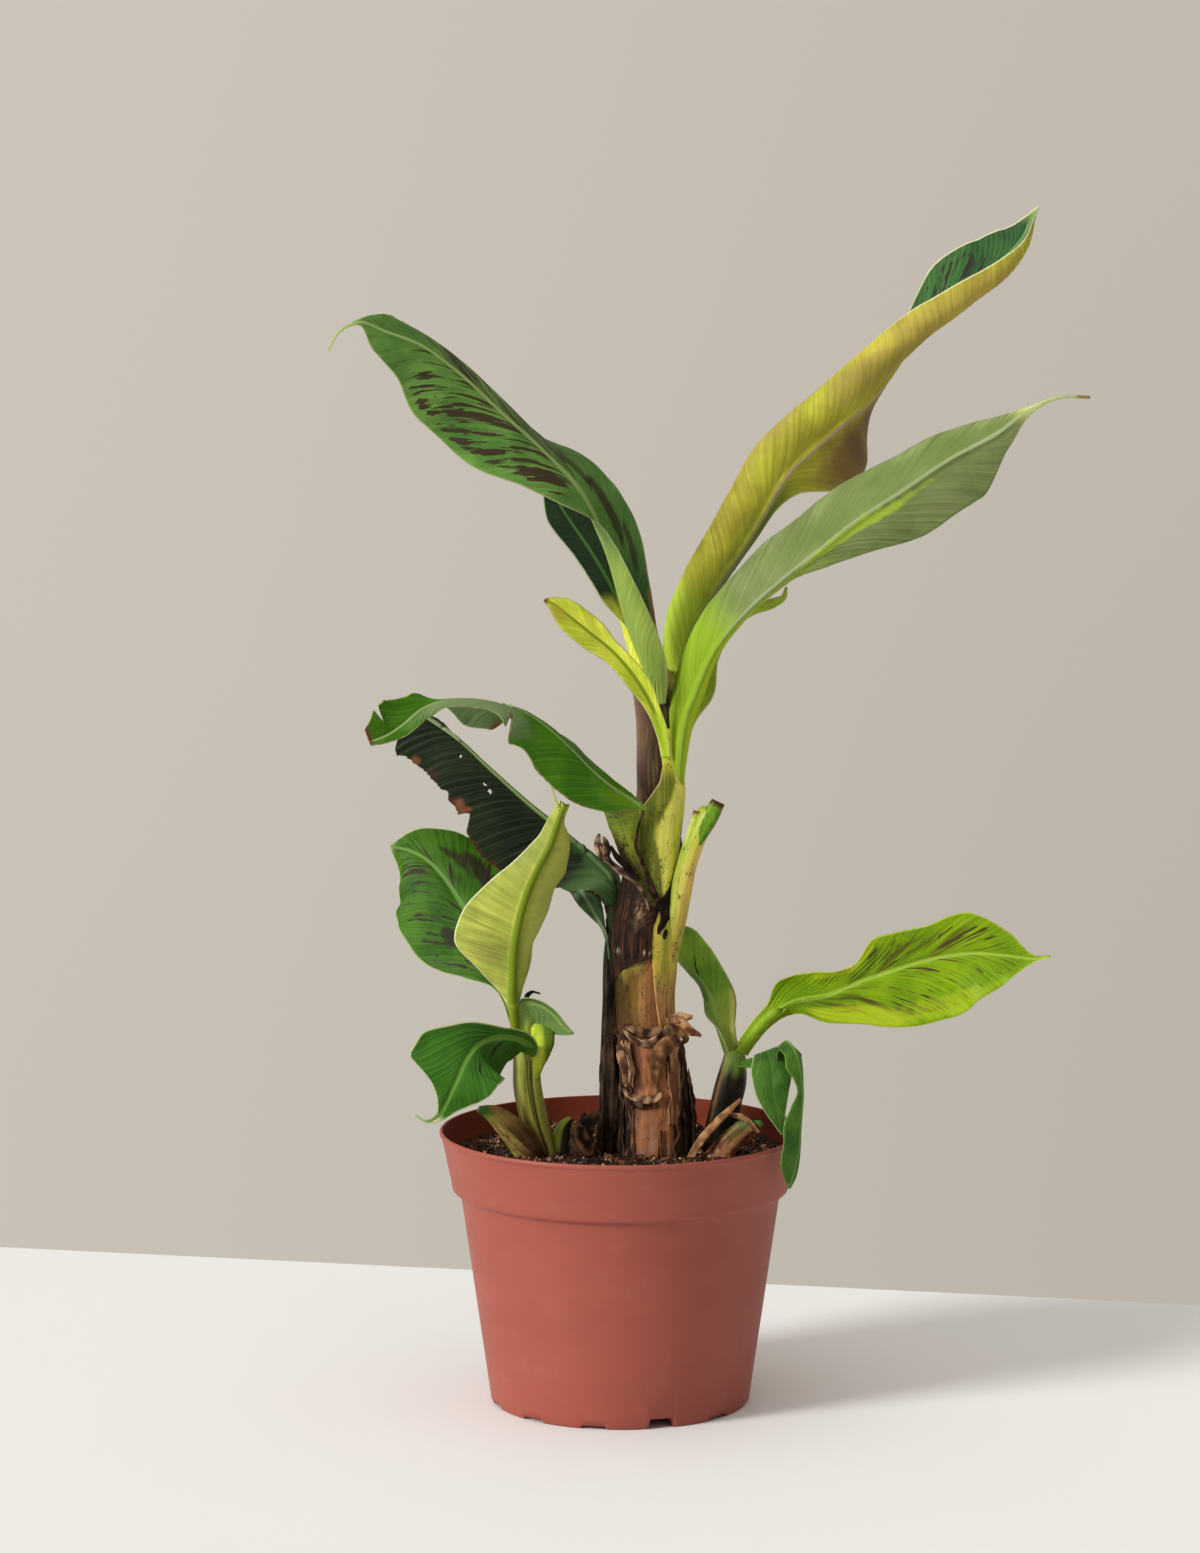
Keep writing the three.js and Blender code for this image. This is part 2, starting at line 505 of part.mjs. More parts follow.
function potSolid() {
  const inner = (radius) => radius - WALL;
  const profile = [
    [0, 0],
    [BASE_RADIUS - BASE_CHAMFER, 0],
    [BASE_RADIUS, BASE_CHAMFER],
    [BODY_TOP_RADIUS, BODY_TOP_Z],
    [BAND_FOOT_RADIUS - 1.5, BAND_FOOT_Z - 4],
    [BAND_FOOT_RADIUS, BAND_FOOT_Z],
    [RIM_RADIUS - 1.5, POT_HEIGHT - RIM_LIP],
    [RIM_RADIUS, POT_HEIGHT - RIM_LIP + 0.8],
    [RIM_RADIUS, POT_HEIGHT - 0.8],
    [RIM_RADIUS - 1, POT_HEIGHT],
    [inner(RIM_RADIUS), POT_HEIGHT],
    [inner(BAND_FOOT_RADIUS), BAND_FOOT_Z],
    [inner(BODY_TOP_RADIUS), BODY_TOP_Z],
    [inner(BASE_RADIUS + bodySlope * FLOOR), FLOOR],
    [0, FLOOR]
  ];
  let pot = turnedSolid(profile, POT_SIDES);
  for (let i = 0; i < DRAIN_GAPS; i++) {
    const height = i === TALL_DRAIN ? TALL_DRAIN_HEIGHT : DRAIN_HEIGHT;
    const gap = boxSolid(DRAIN_WIDTH, 2 * DRAIN_REACH, 2 * height, 0, -BASE_RADIUS, 0);
    pot = pot.subtract(gap.rotate([0, 0, FIRST_DRAIN_ANGLE + (360 / DRAIN_GAPS) * i]));
  }
  return pot;
}

function soilSolid() {
  const foot = FLOOR + GAP;
  const clear = WALL + GAP;
  const edge = SOIL_Z - SOIL_EDGE_DROP;
  const bandSlope = (RIM_RADIUS - BAND_FOOT_RADIUS) / (POT_HEIGHT - BAND_FOOT_Z);
  const tallDrainClear = DRAIN_REACH + 3;
  return turnedSolid([
    [0, foot],
    [BASE_RADIUS - tallDrainClear, foot],
    [BASE_RADIUS - clear + bodySlope * TALL_DRAIN_HEIGHT, foot + TALL_DRAIN_HEIGHT],
    [BODY_TOP_RADIUS - clear, BODY_TOP_Z],
    [BAND_FOOT_RADIUS - clear, BAND_FOOT_Z],
    [BAND_FOOT_RADIUS - clear + bandSlope * (edge - BAND_FOOT_Z), edge],
    [SOIL_LEVEL_RADIUS, SOIL_Z],
    [0, SOIL_Z]
  ], POT_SIDES);
}

addMesh('pot', potSolid(), 0xb05a4a, 0.55);
addMesh('soil', soilSolid(), 0x3a2a20, 0.95);

// Everything that grows stops just above the soil and keeps clear of what was made before it
const ground = boxSolid(600, 600, SOIL_Z, 0, 0, SOIL_Z / 2 + GAP);
const stems = Object.entries(LIMBS).map(([name, limb]) => [name, { ...limb, make: limbSolid }]);
const blades = Object.entries({ ...LEAVES, ...SHEATHS }).map(([name, leaf]) => [name, { ...leaf, make: leafSolid }]);
const pieces = new Map([...stems, ...blades]);
const placed = [];

for (const name of BUILD_ORDER) {
  const piece = pieces.get(name);
  let solid = piece.make(piece, 0).subtract(ground);
  for (const grown of placed) solid = solid.subtract(grown);
  solid = largestPiece(solid);
  placed.push(piece.make(piece, GAP));
  addMesh(name, solid, piece.color, 0.6);
}

export default plant;
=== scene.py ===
import json
import math
import random

import bmesh
import bpy
from mathutils import Matrix, Vector
from mathutils.noise import noise

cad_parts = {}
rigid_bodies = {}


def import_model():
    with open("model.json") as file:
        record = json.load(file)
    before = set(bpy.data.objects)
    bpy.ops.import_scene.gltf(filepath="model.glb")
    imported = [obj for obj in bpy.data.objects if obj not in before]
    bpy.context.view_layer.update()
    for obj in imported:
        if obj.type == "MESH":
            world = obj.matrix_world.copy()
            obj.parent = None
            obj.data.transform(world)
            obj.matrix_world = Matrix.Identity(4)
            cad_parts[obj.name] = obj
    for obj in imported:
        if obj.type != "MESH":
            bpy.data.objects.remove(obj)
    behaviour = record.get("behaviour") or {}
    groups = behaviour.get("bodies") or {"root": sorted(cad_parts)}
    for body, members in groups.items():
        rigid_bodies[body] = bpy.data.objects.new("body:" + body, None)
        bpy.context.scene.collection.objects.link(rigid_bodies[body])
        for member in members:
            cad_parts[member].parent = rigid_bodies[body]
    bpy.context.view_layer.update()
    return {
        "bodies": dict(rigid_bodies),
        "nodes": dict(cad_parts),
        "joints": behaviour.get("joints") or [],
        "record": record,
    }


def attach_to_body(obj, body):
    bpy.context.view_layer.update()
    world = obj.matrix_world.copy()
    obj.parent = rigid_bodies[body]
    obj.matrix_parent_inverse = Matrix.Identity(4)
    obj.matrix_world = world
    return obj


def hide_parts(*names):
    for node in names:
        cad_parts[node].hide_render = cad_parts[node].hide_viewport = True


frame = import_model()

# A young dwarf banana plant in a plastic nursery pot.
# The tables hold millimetres and degrees, +Z is up and -Y is the front. Meshes are made in metres.
MM = 0.001
FRONT = Vector((0, -1, 0))

# Fineness of the leaf and stem meshes
ROW_STEP = 1.5
COLUMN_STEP = 1.6
SKIN_STEP = 1.6
SKIN_SIDES = 144
STEM_SIDES = 72
PATCH_STEP = 1.2

# A half-blade narrower than this has shallower relief
FULL_WIDTH = 12

# The radius by which degrees round the trunk become lengths in the patterns of what lies on it
PATCH_RADIUS = 22

# Pot and soil, as in the part's source
POT_HEIGHT = 193
RIM_RADIUS = 127
RIM_LIP = 3.5
BAND_FOOT_RADIUS = 119
BAND_FOOT_Z = 157
BODY_TOP_RADIUS = 112
BODY_TOP_Z = 147
BASE_RADIUS = 91
WALL = 2.4
DRAIN_GAPS = 12
DRAIN_WIDTH = 18
DRAIN_REACH = 9
DRAIN_HEIGHT = 2.4
TALL_DRAIN_HEIGHT = 7
FIRST_DRAIN_ANGLE = -72
TALL_DRAIN = 3
SOIL_Z = 172
SOIL_EDGE_DROP = 2
SOIL_EDGE_FROM = 88
SOIL_EDGE_TO = 116
SOIL_HEAP = 5.5
SOIL_GAP = 0.4
SOIL_FOOT_Z = 9
SOIL_RINGS = 88
POT_SIDES = 360
SOIL_SIDES = 300
STREWN_RADIUS = 112

# How far the side veins lean towards the tip: in the shader's metres, and in the tables' millimetres
VEIN_LEAN = 0.16
VEIN_LEAN_MM = 5.1

# Leaves, from foot to tip. A station is the midrib's point (x, y, z), then three values for the left and
# three for the right half-blade, as seen on the upper face with the tip away: the width, the direction at
# the rib and the direction at the margin.
# Directions turn round the rib: 0 is right, 90 is towards the face side, 180 is left, -90 is away.
LEAVES = {
    "leaf_upper_left": [
        (30, -17, 496, 2.5, 80, 20, 2.5, -60, -30), (25, -17, 512, 12, 80, 0, 9, -60, 0),
        (13, -13, 540, 21, 85, 0, 15, -50, 10), (1, -13, 577, 16, 85, 15, 20, -25, 0),
        (-11, -16, 609, 14, 95, 40, 27, -20, -30), (-29, -22, 645, 28, 125, 110, 29, -40, -60),
        (-52, -30, 671, 34, 145, 140, 38, -75, -95), (-82, -40, 699, 43, 165, 180, 42, -65, -115),
        (-109, -51, 725, 43, 172, 184, 42, -65, -115), (-136, -62, 745, 30, 172, 184, 30, -60, -95),
        (-159, -71, 754, 17, 172, 184, 17, -45, -65), (-176, -78, 760, 2.5, 172, 184, 3, -35, -60),
        (-189, -82, 754, 1.2, 172, 184, 1.2, -35, -60), (-197, -84, 741, 0.8, 172, 184, 0.8, -35, -60)],
    "leaf_upper_left_back": [
        (19, 8, 499, 11, 90, 10, 10, -60, 0), (9, 13, 533, 10, 100, 30, 9, -50, 0),
        (-4, 26, 568, 12, 150, 140, 10, -40, -20), (-20, 47, 595, 12, 165, 165, 18, -30, -20),
        (-38, 68, 620, 14, 170, 170, 20, -30, -20), (-51, 82, 640, 5, 170, 170, 10, -30, -20),
        (-57, 87, 650, 1.2, 170, 170, 1.2, -30, -20)],
    "leaf_top_right": [
        (39, 6, 495, 9, -40, -100, 14, 200, 270), (48, 13, 537, 9, -30, -100, 24, 160, 260),
        (66, 23, 571, 8, -30, -90, 42, 150, 290), (85, 30, 598, 7, -30, -80, 50, 150, 300),
        (101, 37, 624, 7, -25, -50, 52, 150, 300), (115, 43, 648, 18, -20, -30, 53, 150, 300),
        (136, 52, 668, 38, -10, -30, 54, 150, 300), (159, 60, 687, 50, -38, -52, 54, 145, 300),
        (180, 69, 706, 54, -74, -80, 52, 120, 285), (199, 81, 731, 42, -84, -90, 48, 70, 250),
        (218, 91, 759, 38, -100, -110, 46, 25, 215), (240, 94, 779, 34, -130, -135, 42, 10, 195),
        (269, 98, 798, 28, -140, -140, 30, 5, 188), (283, 101, 812, 19, -145, -145, 16, 0, 170),
        (293, 105, 831, 3, -150, -150, 3, 0, 150), (296, 105, 836, 0.8, -150, -150, 0.8, 0, 150)],
    "leaf_middle_right": [
        (41, -8, 438, 2, 0, -60, 3, 180, 240), (41.5, -15, 455, 4, 0, -60, 6, 180, 240),
        (43, -19, 473, 6, 0, -70, 11, 180, 250), (46, -22, 489, 7, 0, -70, 17, 180, 250),
        (51, -24, 502, 7, 0, -70, 20, 180, 250), (63, -30, 530, 6, -10, -80, 26, 185, 250),
        (87, -41, 562, 5, -20, -80, 34, 205, 250), (110, -52, 584, 5, -20, -50, 38, 210, 245),
        (132, -63, 603, 13, -10, -20, 36, 210, 245), (158, -74, 625, 26, -8, -22, 36, 210, 245),
        (188, -86, 646, 36, -8, -25, 32, 215, 245), (220, -100, 669, 36, -8, -25, 26, 215, 245),
        (252, -114, 688, 12, -8, -25, 14, 215, 245), (271, -122, 703, 2.5, -8, -25, 3, 215, 245),
        (291, -128, 712, 1, -8, -25, 1, 215, 245), (310, -133, 712, 0.8, -8, -25, 0.8, 215, 245)],
    "leaf_young_front": [
        (31, -20, 458, 3, 185, 190, 3, -5, -10), (29, -24, 474, 4, 175, 170, 4, 5, 10),
        (22, -31, 494, 5, 165, 160, 5, 15, 20), (13, -37, 511, 8, 160, 160, 8, 20, 20),
        (-7, -47, 536, 9, 165, 165, 7, 15, 15), (-21, -54, 548, 11, 165, 165, 11, 15, 15),
        (-35, -62, 560, 10, 165, 165, 11, 15, 15), (-46, -68, 569, 5, 165, 165, 6, 15, 15),
        (-52, -71, 572, 0.9, 165, 165, 0.9, 15, 15)],
    "leaf_young_back": [
        (40, 7, 455, 4, -60, -60, 4, 240, 240), (48, 13, 478, 4, -40, -40, 5, 220, 220),
        (56, 22, 501, 10, 0, 0, 8, 200, 200), (64, 30, 522, 5, 0, -10, 9, 200, 200),
        (80, 42, 546, 3, -10, -20, 3, 200, 200), (95, 50, 555, 4, -20, -40, 3, 180, 170),
        (106, 54, 559, 5, -40, -20, 3, 180, 170), (115, 56, 563, 2.5, -40, -20, 2, 180, 170),
        (117, 57, 570, 0.8, -40, -20, 0.8, 200, 200)],
    "leaf_arching_left": [
        (19, -30, 423, 0.8, 165, 165, 0.8, -60, -60), (8, -33, 431, 9, 165, 165, 6, -60, -70),
        (-2, -37, 438, 18, 165, 165, 12, -70, -80), (-16, -42, 450, 26, 165, 165, 22, -85, -90),
        (-35, -49, 470, 29, 165, 168, 30, -88, -98), (-55, -55, 488, 24, 150, 165, 30, -90, -120),
        (-67, -59, 496, 26, 150, 172, 30, -95, -140), (-81, -62, 501, 11, 140, 160, 34, -105, -165),
        (-103, -65, 505, 8, 130, 160, 33, -105, -165), (-121, -68, 504, 7, 130, 160, 14, -90, -120),
        (-137, -73, 497, 8, 170, 170, 13, -10, -10), (-149, -76, 487, 8, 170, 170, 21, 0, 10),
        (-160, -78, 480, 5, 170, 170, 20, 5, 15), (-171, -79, 476, 3, 170, 170, 9, 10, 15)],
    "leaf_hanging_left": [
        (-5, 4, 330, 6, 150, 140, 6, -60, -60), (-2, 8, 351, 10, 165, 165, 8, -60, -60),
        (-6, 13, 370, 22, 175, 180, 12, -60, -70), (-16, 17, 381, 30, 175, 180, 22, -80, -95),
        (-40, 24, 402, 44, 175, 182, 34, -95, -110), (-63, 30, 420, 51, 175, 182, 38, -95, -112),
        (-92, 37, 445, 38, 175, 182, 38, -95, -112), (-116, 44, 466, 34, 175, 182, 32, -95, -112),
        (-133, 48, 477, 32, 175, 182, 20, -80, -100), (-145, 51, 484, 28, 175, 182, 8, -80, -100),
        (-151, 52, 487, 4, 175, 182, 2, -80, -100)],
    "left_shoot_leaf_back": [
        (-69, -8, 248, 3, 160, 180, 3, -20, 0), (-73, -5, 268, 4, 170, 180, 4, -15, 0),
        (-81, 7, 299, 12, 175, 175, 12, -10, 0), (-89, 15, 313, 27, 175, 180, 24, -10, 0),
        (-97, 25, 325, 40, 175, 180, 34, -10, 0), (-111, 41, 344, 47, 175, 185, 38, -10, 0),
        (-124, 54, 362, 46, 175, 190, 38, -10, -20), (-135, 62, 373, 38, 175, 190, 30, -10, -30),
        (-148, 69, 380, 26, 170, 190, 20, -10, -40), (-164, 77, 383, 1.5, 170, 190, 1.5, -10, -40)],
    "left_shoot_leaf_upright": [
        (-73, -14, 260, 4, -40, -60, 4, 220, 240), (-75, -17, 285, 6, -30, -60, 6, 210, 230),
        (-75, -19, 306, 16, -40, -60, 24, 185, 205), (-74, -22, 324, 26, -50, -70, 44, 185, 205),
        (-71, -24, 342, 34, -50, -70, 41, 185, 205), (-66, -27, 361, 36, -50, -70, 29, 185, 210),
        (-59, -30, 379, 34, -45, -65, 18, 185, 215), (-49, -32, 399, 24, -40, -70, 11, 185, 230),
        (-42, -35, 419, 9, -30, -110, 9, 190, 270), (-38, -35, 428, 6, -20, -110, 6, 200, 280)],
    "left_shoot_leaf_front": [
        (-63, -22, 247, 4, 180, 180, 3, 0, 0), (-62, -30, 256, 12, 183, 183, 5, 0, 20),
        (-68, -36, 262, 18, 182, 180, 7, 0, 20), (-78, -43, 266, 26, 180, 176, 7, 0, 20),
        (-90, -51, 266, 32, 180, 176, 11, 0, 20), (-100, -60, 262, 30, 180, 176, 21, 0, 0),
        (-107, -67, 253, 28, 180, 176, 36, 0, 0), (-112, -74, 242, 25, 180, 176, 34, 0, 0),
        (-116, -78, 234, 18, 180, 176, 15, 0, 0), (-119, -82, 228, 11, 180, 176, 8, 0, 0),
        (-125, -86, 219, 4, 180, 176, 2, 0, 0), (-133, -89, 216, 1, 180, 172, 1, 0, 0),
        (-141, -90, 221, 0.8, 180, 172, 0.8, 0, 0)],
    "left_shoot_leaf_small": [
        (-61, -10, 240, 6, 200, 240, 6, -20, -60), (-65, -14, 256, 5, 180, 220, 6, 0, -40),
        (-68, -15, 270, 5, 180, 220, 9, 0, -40), (-67, -15, 285, 5, 170, 120, 12, -10, -40),
        (-58, -16, 284, 6, 160, 110, 17, -10, -30), (-48, -17, 278, 6, 150, 110, 15, -10, -20),
        (-40, -18, 269, 4, 150, 120, 8, -10, -20), (-33, -19, 264, 0.8, 150, 120, 0.8, -10, -20)],
    "right_shoot_leaf_back": [
        (78, 4, 241, 6, 100, 60, 8, -60, 0), (71, 9, 262, 6, 120, 90, 11, -40, 0),
        (65, 16, 280, 9, 200, 230, 17, -10, 0), (58, 26, 292, 14, 230, 260, 18, -10, 0),
        (47, 38, 303, 16, 240, 260, 21, -10, 0), (35, 50, 315, 15, 240, 260, 20, -10, 0),
        (21, 59, 331, 1.2, 240, 260, 1.5, -10, 0)],
    "right_shoot_leaf_long": [
        (84, 2, 247, 8, 250, 210, 8, -60, -20), (94, 0, 261, 8, 240, 200, 8, -60, -20),
        (105, -4, 274, 8, 230, 190, 8, -50, -10), (121, -9, 285, 19, 190, 160, 11, -20, -10),
        (143, -16, 291, 19, 180, 150, 21, 0, 10), (166, -24, 302, 13, 170, 150, 34, 0, 10),
        (190, -34, 312, 29, 170, 150, 42, 0, 10), (217, -46, 322, 25, 170, 165, 43, 0, 10),
        (240, -56, 327, 30, 170, 165, 36, 0, 10), (263, -65, 327, 19, 170, 165, 21, 0, 10),
        (283, -72, 326, 2.5, 170, 165, 2.5, 0, 10), (293, -76, 328, 0.8, 170, 165, 0.8, 0, 10)],
    "right_shoot_leaf_hanging": [
        (82, -4, 241, 4, 200, 200, 3, -60, -60), (90, -12, 245.5, 7, 205, 205, 7, -70, -75),
        (101, -26, 250.5, 9, 215, 215, 11, -82, -96), (110, -39, 260, 12, 215, 215, 12, -82, -90),
        (115, -49, 265, 13, 215, 215, 9, -60, -60), (121, -59, 259, 10, 215, 215, 9, -30, -30),
        (123.5, -63, 250, 6, 205, 215, 11, -20, -12), (124.5, -65, 242, 4, 205, 215, 7, -10, -10),
        (125.5, -67, 233, 2, 210, 220, 4.5, -10, -10), (125, -69, 221, 2.5, 215, 225, 9, -10, -10),
        (124, -71, 207, 3.5, 220, 230, 13.5, -10, -10), (122.5, -73, 191, 3, 210, 220, 13.5, -5, -5),
        (119, -74, 176, 3, 190, 190, 9, -5, -5), (116, -74, 166, 1, 180, 180, 1, 0, 0)],
    "left_cut_sheath": [
        (-60, -24, 171, 13, -5, -60, 11, 185, 240), (-68, -28, 188, 12, -5, -60, 12, 185, 240),
        (-79, -33, 202, 9, -5, -50, 9, 185, 230), (-90, -36, 211, 6, -5, -40, 5, 185, 220),
        (-99, -38, 215, 1.5, -5, -40, 1.5, 185, 220)],
    "right_cut_sheath": [
        (66, -20, 172, 10, -5, -60, 10, 185, 240), (75, -24, 186, 9, -5, -60, 9, 185, 240),
        (86, -27, 197, 7, -5, -50, 7, 185, 230), (99, -29, 203, 1.5, -5, -40, 1.5, 185, 220)],
}

# The hanging leaf of the right shoot faces up and outwards, all the others the front
LEAF_FACES = {"right_shoot_leaf_hanging": Vector((0.45, -0.45, 0.8))}

# Stems: points on the middle line, x, y and z, with the radius there
LIMBS = {
    "trunk": [
        (24, 0, 165, 28), (24, 0, 189, 26), (24, 0, 217, 24), (21, 0, 249, 21.5), (17, 0, 281, 19.5),
        (17, 0, 306, 20.5), (18, 0, 331, 22), (20, 0, 356, 20), (23, 0, 380, 17.5), (25, 0, 405, 15.5),
        (27, 0, 433, 14.5), (27, 0, 461, 14.5), (28, 0, 486, 16), (25, 0, 504, 14.5), (21, 2, 520, 9)],
    "side_stem": [
        (-7, 2, 165, 11), (-6, 4, 213, 9), (-6, 5, 248, 8), (-5, 6, 284, 7.5), (-5, 6, 312, 7),
        (-4, 5, 335, 6), (-4, 4, 352, 5)],
    "cut_petiole": [
        (30, -6, 300, 5), (37, -12, 333, 6.5), (41, -15, 358, 7.5), (46, -17, 383, 7), (53, -18, 404, 7),
        (63, -18, 423, 8)],
    "dry_stub": [
        (13, -28, 374, 1.6), (-1, -31, 382, 1.8), (-9, -33, 389, 2.2), (-12, -33, 395, 3.0),
        (-13, -33, 400, 1.8)],
    "left_shoot_stem": [
        (-52, -12, 165, 9.5), (-53, -12, 177, 9), (-60, -14, 201, 9.5), (-65, -16, 227, 10),
        (-66, -16, 246, 9), (-70, -15, 263, 6)],
    "middle_shoot": [
        (-42, -8, 165, 8.5), (-42, -8, 184, 7.5), (-39, -8, 197, 4.5), (-34, -9, 203, 1.5)],
    "dead_shoot": [
        (-25, -14, 165, 8), (-26, -14, 186, 7), (-26, -15, 200, 3.5), (-25, -16, 208, 1.5)],
    "right_shoot_stem": [
        (68, 2, 165, 12.5), (69, 2, 176, 12), (73, 2, 205, 11), (78, 2, 227, 10.5), (81, 1, 249, 7)],
}


def colour(code):
    """An sRGB colour such as 0x3f7a34, as linear red, green and blue with full alpha."""
    channels = []
    for shift in (16, 8, 0):
        share = ((code >> shift) & 255) / 255
        channels.append(share / 12.92 if share <= 0.04045 else ((share + 0.055) / 1.055) ** 2.4)
    return (*channels, 1.0)


def soft(value, low, high):
    """0 below low and 1 above high, with a smooth rise between, or a fall where low is the higher."""
    share = min(1.0, max(0.0, (value - low) / (high - low)))
    return share * share * (3 - 2 * share)


def mixed(first, second, share):
    """Two linear colours mixed."""
    return tuple(a + (b - a) * share for a, b in zip(first, second))


def between(first, second, share):
    """A linear colour between two written ones."""
    return mixed(colour(first), colour(second), share)


def laid(tone, code, share):
    """A linear tone with a written colour laid over it."""
    return mixed(tone, colour(code), share)


def grain(x, y, z=0.0):
    """Smooth noise from -1 to 1."""
    return noise(Vector((x, y, z)))


def ring_grain(degrees, fineness, height):
    """Smooth noise round a stem, with no seam at its back."""
    turn = math.radians(degrees)
    return grain(math.cos(turn) * fineness, math.sin(turn) * fineness, height)


# Shader nodes

class Nodes:
    """One node tree, with short calls that add a node and wire it up."""

    def __init__(self, tree):
        self.tree = tree

    def feed(self, socket, value):
        if isinstance(value, bpy.types.NodeSocket):
            self.tree.links.new(value, socket)
        else:
            socket.default_value = value

    def add(self, kind, inputs=None, **settings):
        node = self.tree.nodes.new(kind)
        for name, value in settings.items():
            setattr(node, name, value)
        for socket, value in (inputs or {}).items():
            self.feed(node.inputs[socket], value)
        return node

    def calc(self, operation, *values):
        node = self.add("ShaderNodeMath", operation=operation)
        for socket, value in zip(node.inputs, values):
            self.feed(socket, value)
        return node.outputs[0]

    def plus(self, first, second):
        return self.calc("ADD", first, second)

    def minus(self, first, second):
        return self.calc("SUBTRACT", first, second)

    def times(self, first, second):
        return self.calc("MULTIPLY", first, second)

    def blend(self, share, first, second, way="MIX"):
        node = self.add("ShaderNodeMix", data_type="RGBA", blend_type=way)
        self.feed(node.inputs[0], share)
        self.feed(node.inputs[6], first)
        self.feed(node.inputs[7], second)
        return node.outputs[2]

    def rise(self, value, low, high):
        inputs = {0: value, 1: low, 2: high}
        return self.add("ShaderNodeMapRange", inputs, interpolation_type="SMOOTHSTEP").outputs[0]

    def place(self, x, y, z=0.0):
        return self.add("ShaderNodeCombineXYZ", {0: x, 1: y, 2: z}).outputs[0]

    def parts(self, vector):
        return self.add("ShaderNodeSeparateXYZ", {0: vector}).outputs

    def cloud(self, vector, scale, detail=2.0, roughness=0.5, distortion=0.0):
        inputs = {"Vector": vector, "Scale": scale, "Detail": detail, "Roughness": roughness,
                  "Distortion": distortion}
        return self.add("ShaderNodeTexNoise", inputs).outputs[0]

    def use(self, tree, **inputs):
        node = self.add("ShaderNodeGroup", node_tree=tree)
        for name, value in inputs.items():
            self.feed(node.inputs[name.replace("_", " ").capitalize()], value)
        return node.outputs


SOCKETS = {"vector": "NodeSocketVector", "value": "NodeSocketFloat", "colour": "NodeSocketColor"}


def new_group(name, inputs, outputs):
    """An empty shader group with named sockets: its nodes, what comes in and where results go."""
    tree = bpy.data.node_groups.new(name, "ShaderNodeTree")
    for label, kind in inputs.items():
        tree.interface.new_socket(label, in_out="INPUT", socket_type=SOCKETS[kind])
    for label, kind in outputs.items():
        tree.interface.new_socket(label, in_out="OUTPUT", socket_type=SOCKETS[kind])
    nodes = Nodes(tree)
    return nodes, nodes.add("NodeGroupInput").outputs, nodes.add("NodeGroupOutput").inputs


def make_vein_group():
    """Side veins that leave the rib at a slant: broad bands, fine streaks and thin lines."""
    nodes, given, result = new_group(
        "side_veins", {"Blade": "vector", "Slant": "value"},
        {"Slanted": "value", "Bands": "value", "Streaks": "value", "Lines": "value"})
    along, across, _ = nodes.parts(given["Blade"])
    out = nodes.calc("ABSOLUTE", across)
    bend = nodes.times(nodes.calc("SQRT", out), given["Slant"])
    slanted = nodes.minus(along, nodes.times(bend, VEIN_LEAN))
    side = nodes.times(nodes.calc("SIGN", across), 3.0)
    bands = nodes.cloud(nodes.place(nodes.times(slanted, 150), nodes.times(out, 9), side), 1.0, 1.0)
    streaks = nodes.cloud(nodes.place(nodes.times(slanted, 900), nodes.times(out, 20), side), 1.0, 3.0, 0.6)
    wander = nodes.times(nodes.minus(bands, 0.5), 2.6)
    wave = nodes.calc("SINE", nodes.plus(nodes.times(slanted, 1000), wander))
    nodes.feed(result["Slanted"], slanted)
    nodes.feed(result["Bands"], bands)
    nodes.feed(result["Streaks"], streaks)
    nodes.feed(result["Lines"], nodes.rise(wave, 0.72, 0.98))
    return nodes.tree


def make_fleck_group():
    """Dark flecks drawn out along the side veins."""
    nodes, given, result = new_group(
        "drawn_out_flecks", {"Slanted": "value", "Across": "value", "Amount": "value", "Length": "value"},
        {"Mask": "value"})
    x = nodes.times(given["Slanted"], 150)
    y = nodes.calc("DIVIDE", given["Across"], given["Length"])
    spots = nodes.cloud(nodes.place(x, y), 1.0, 3.0, 0.62, 0.25)
    low = nodes.minus(0.72, nodes.times(given["Amount"], 0.3))
    nodes.feed(result["Mask"], nodes.rise(spots, low, nodes.plus(low, 0.035)))
    return nodes.tree


def make_scorch_group():
    """Dry brown patches that eat in from the margin."""
    nodes, given, result = new_group(
        "scorched_margin", {"Blade": "vector", "Margin": "value", "Reach": "value"}, {"Mask": "value"})
    patches = nodes.cloud(given["Blade"], 70, 3.0, 0.6)
    depth = nodes.times(nodes.rise(patches, 0.42, 0.72), given["Reach"])
    left = nodes.minus(depth, given["Margin"])
    nodes.feed(result["Mask"], nodes.rise(left, -0.0004, 0.0006))
    return nodes.tree


def make_fibre_group():
    """Fibres that run up a stem or a dry husk."""
    nodes, given, result = new_group(
        "stem_fibres", {"Skin": "vector", "Fineness": "value"},
        {"Streaks": "value", "Bands": "value", "Stains": "value"})
    around, up, _ = nodes.parts(given["Skin"])
    scaled = nodes.times(around, given["Fineness"])
    streaks = nodes.cloud(nodes.place(scaled, nodes.times(up, 30)), 1.0, 3.0, 0.6)
    broad = nodes.times(scaled, 0.25)
    bands = nodes.cloud(nodes.place(broad, nodes.times(up, 14), 4.0), 1.0, 2.0, 0.5)
    stains = nodes.cloud(nodes.place(nodes.times(around, 160), nodes.times(up, 90), 9.0), 1.0, 4.0, 0.65)
    nodes.feed(result["Streaks"], streaks)
    nodes.feed(result["Bands"], bands)
    nodes.feed(result["Stains"], stains)
    return nodes.tree


VEINS = make_vein_group()
FLECKS = make_fleck_group()
SCORCH = make_scorch_group()
FIBRES = make_fibre_group()


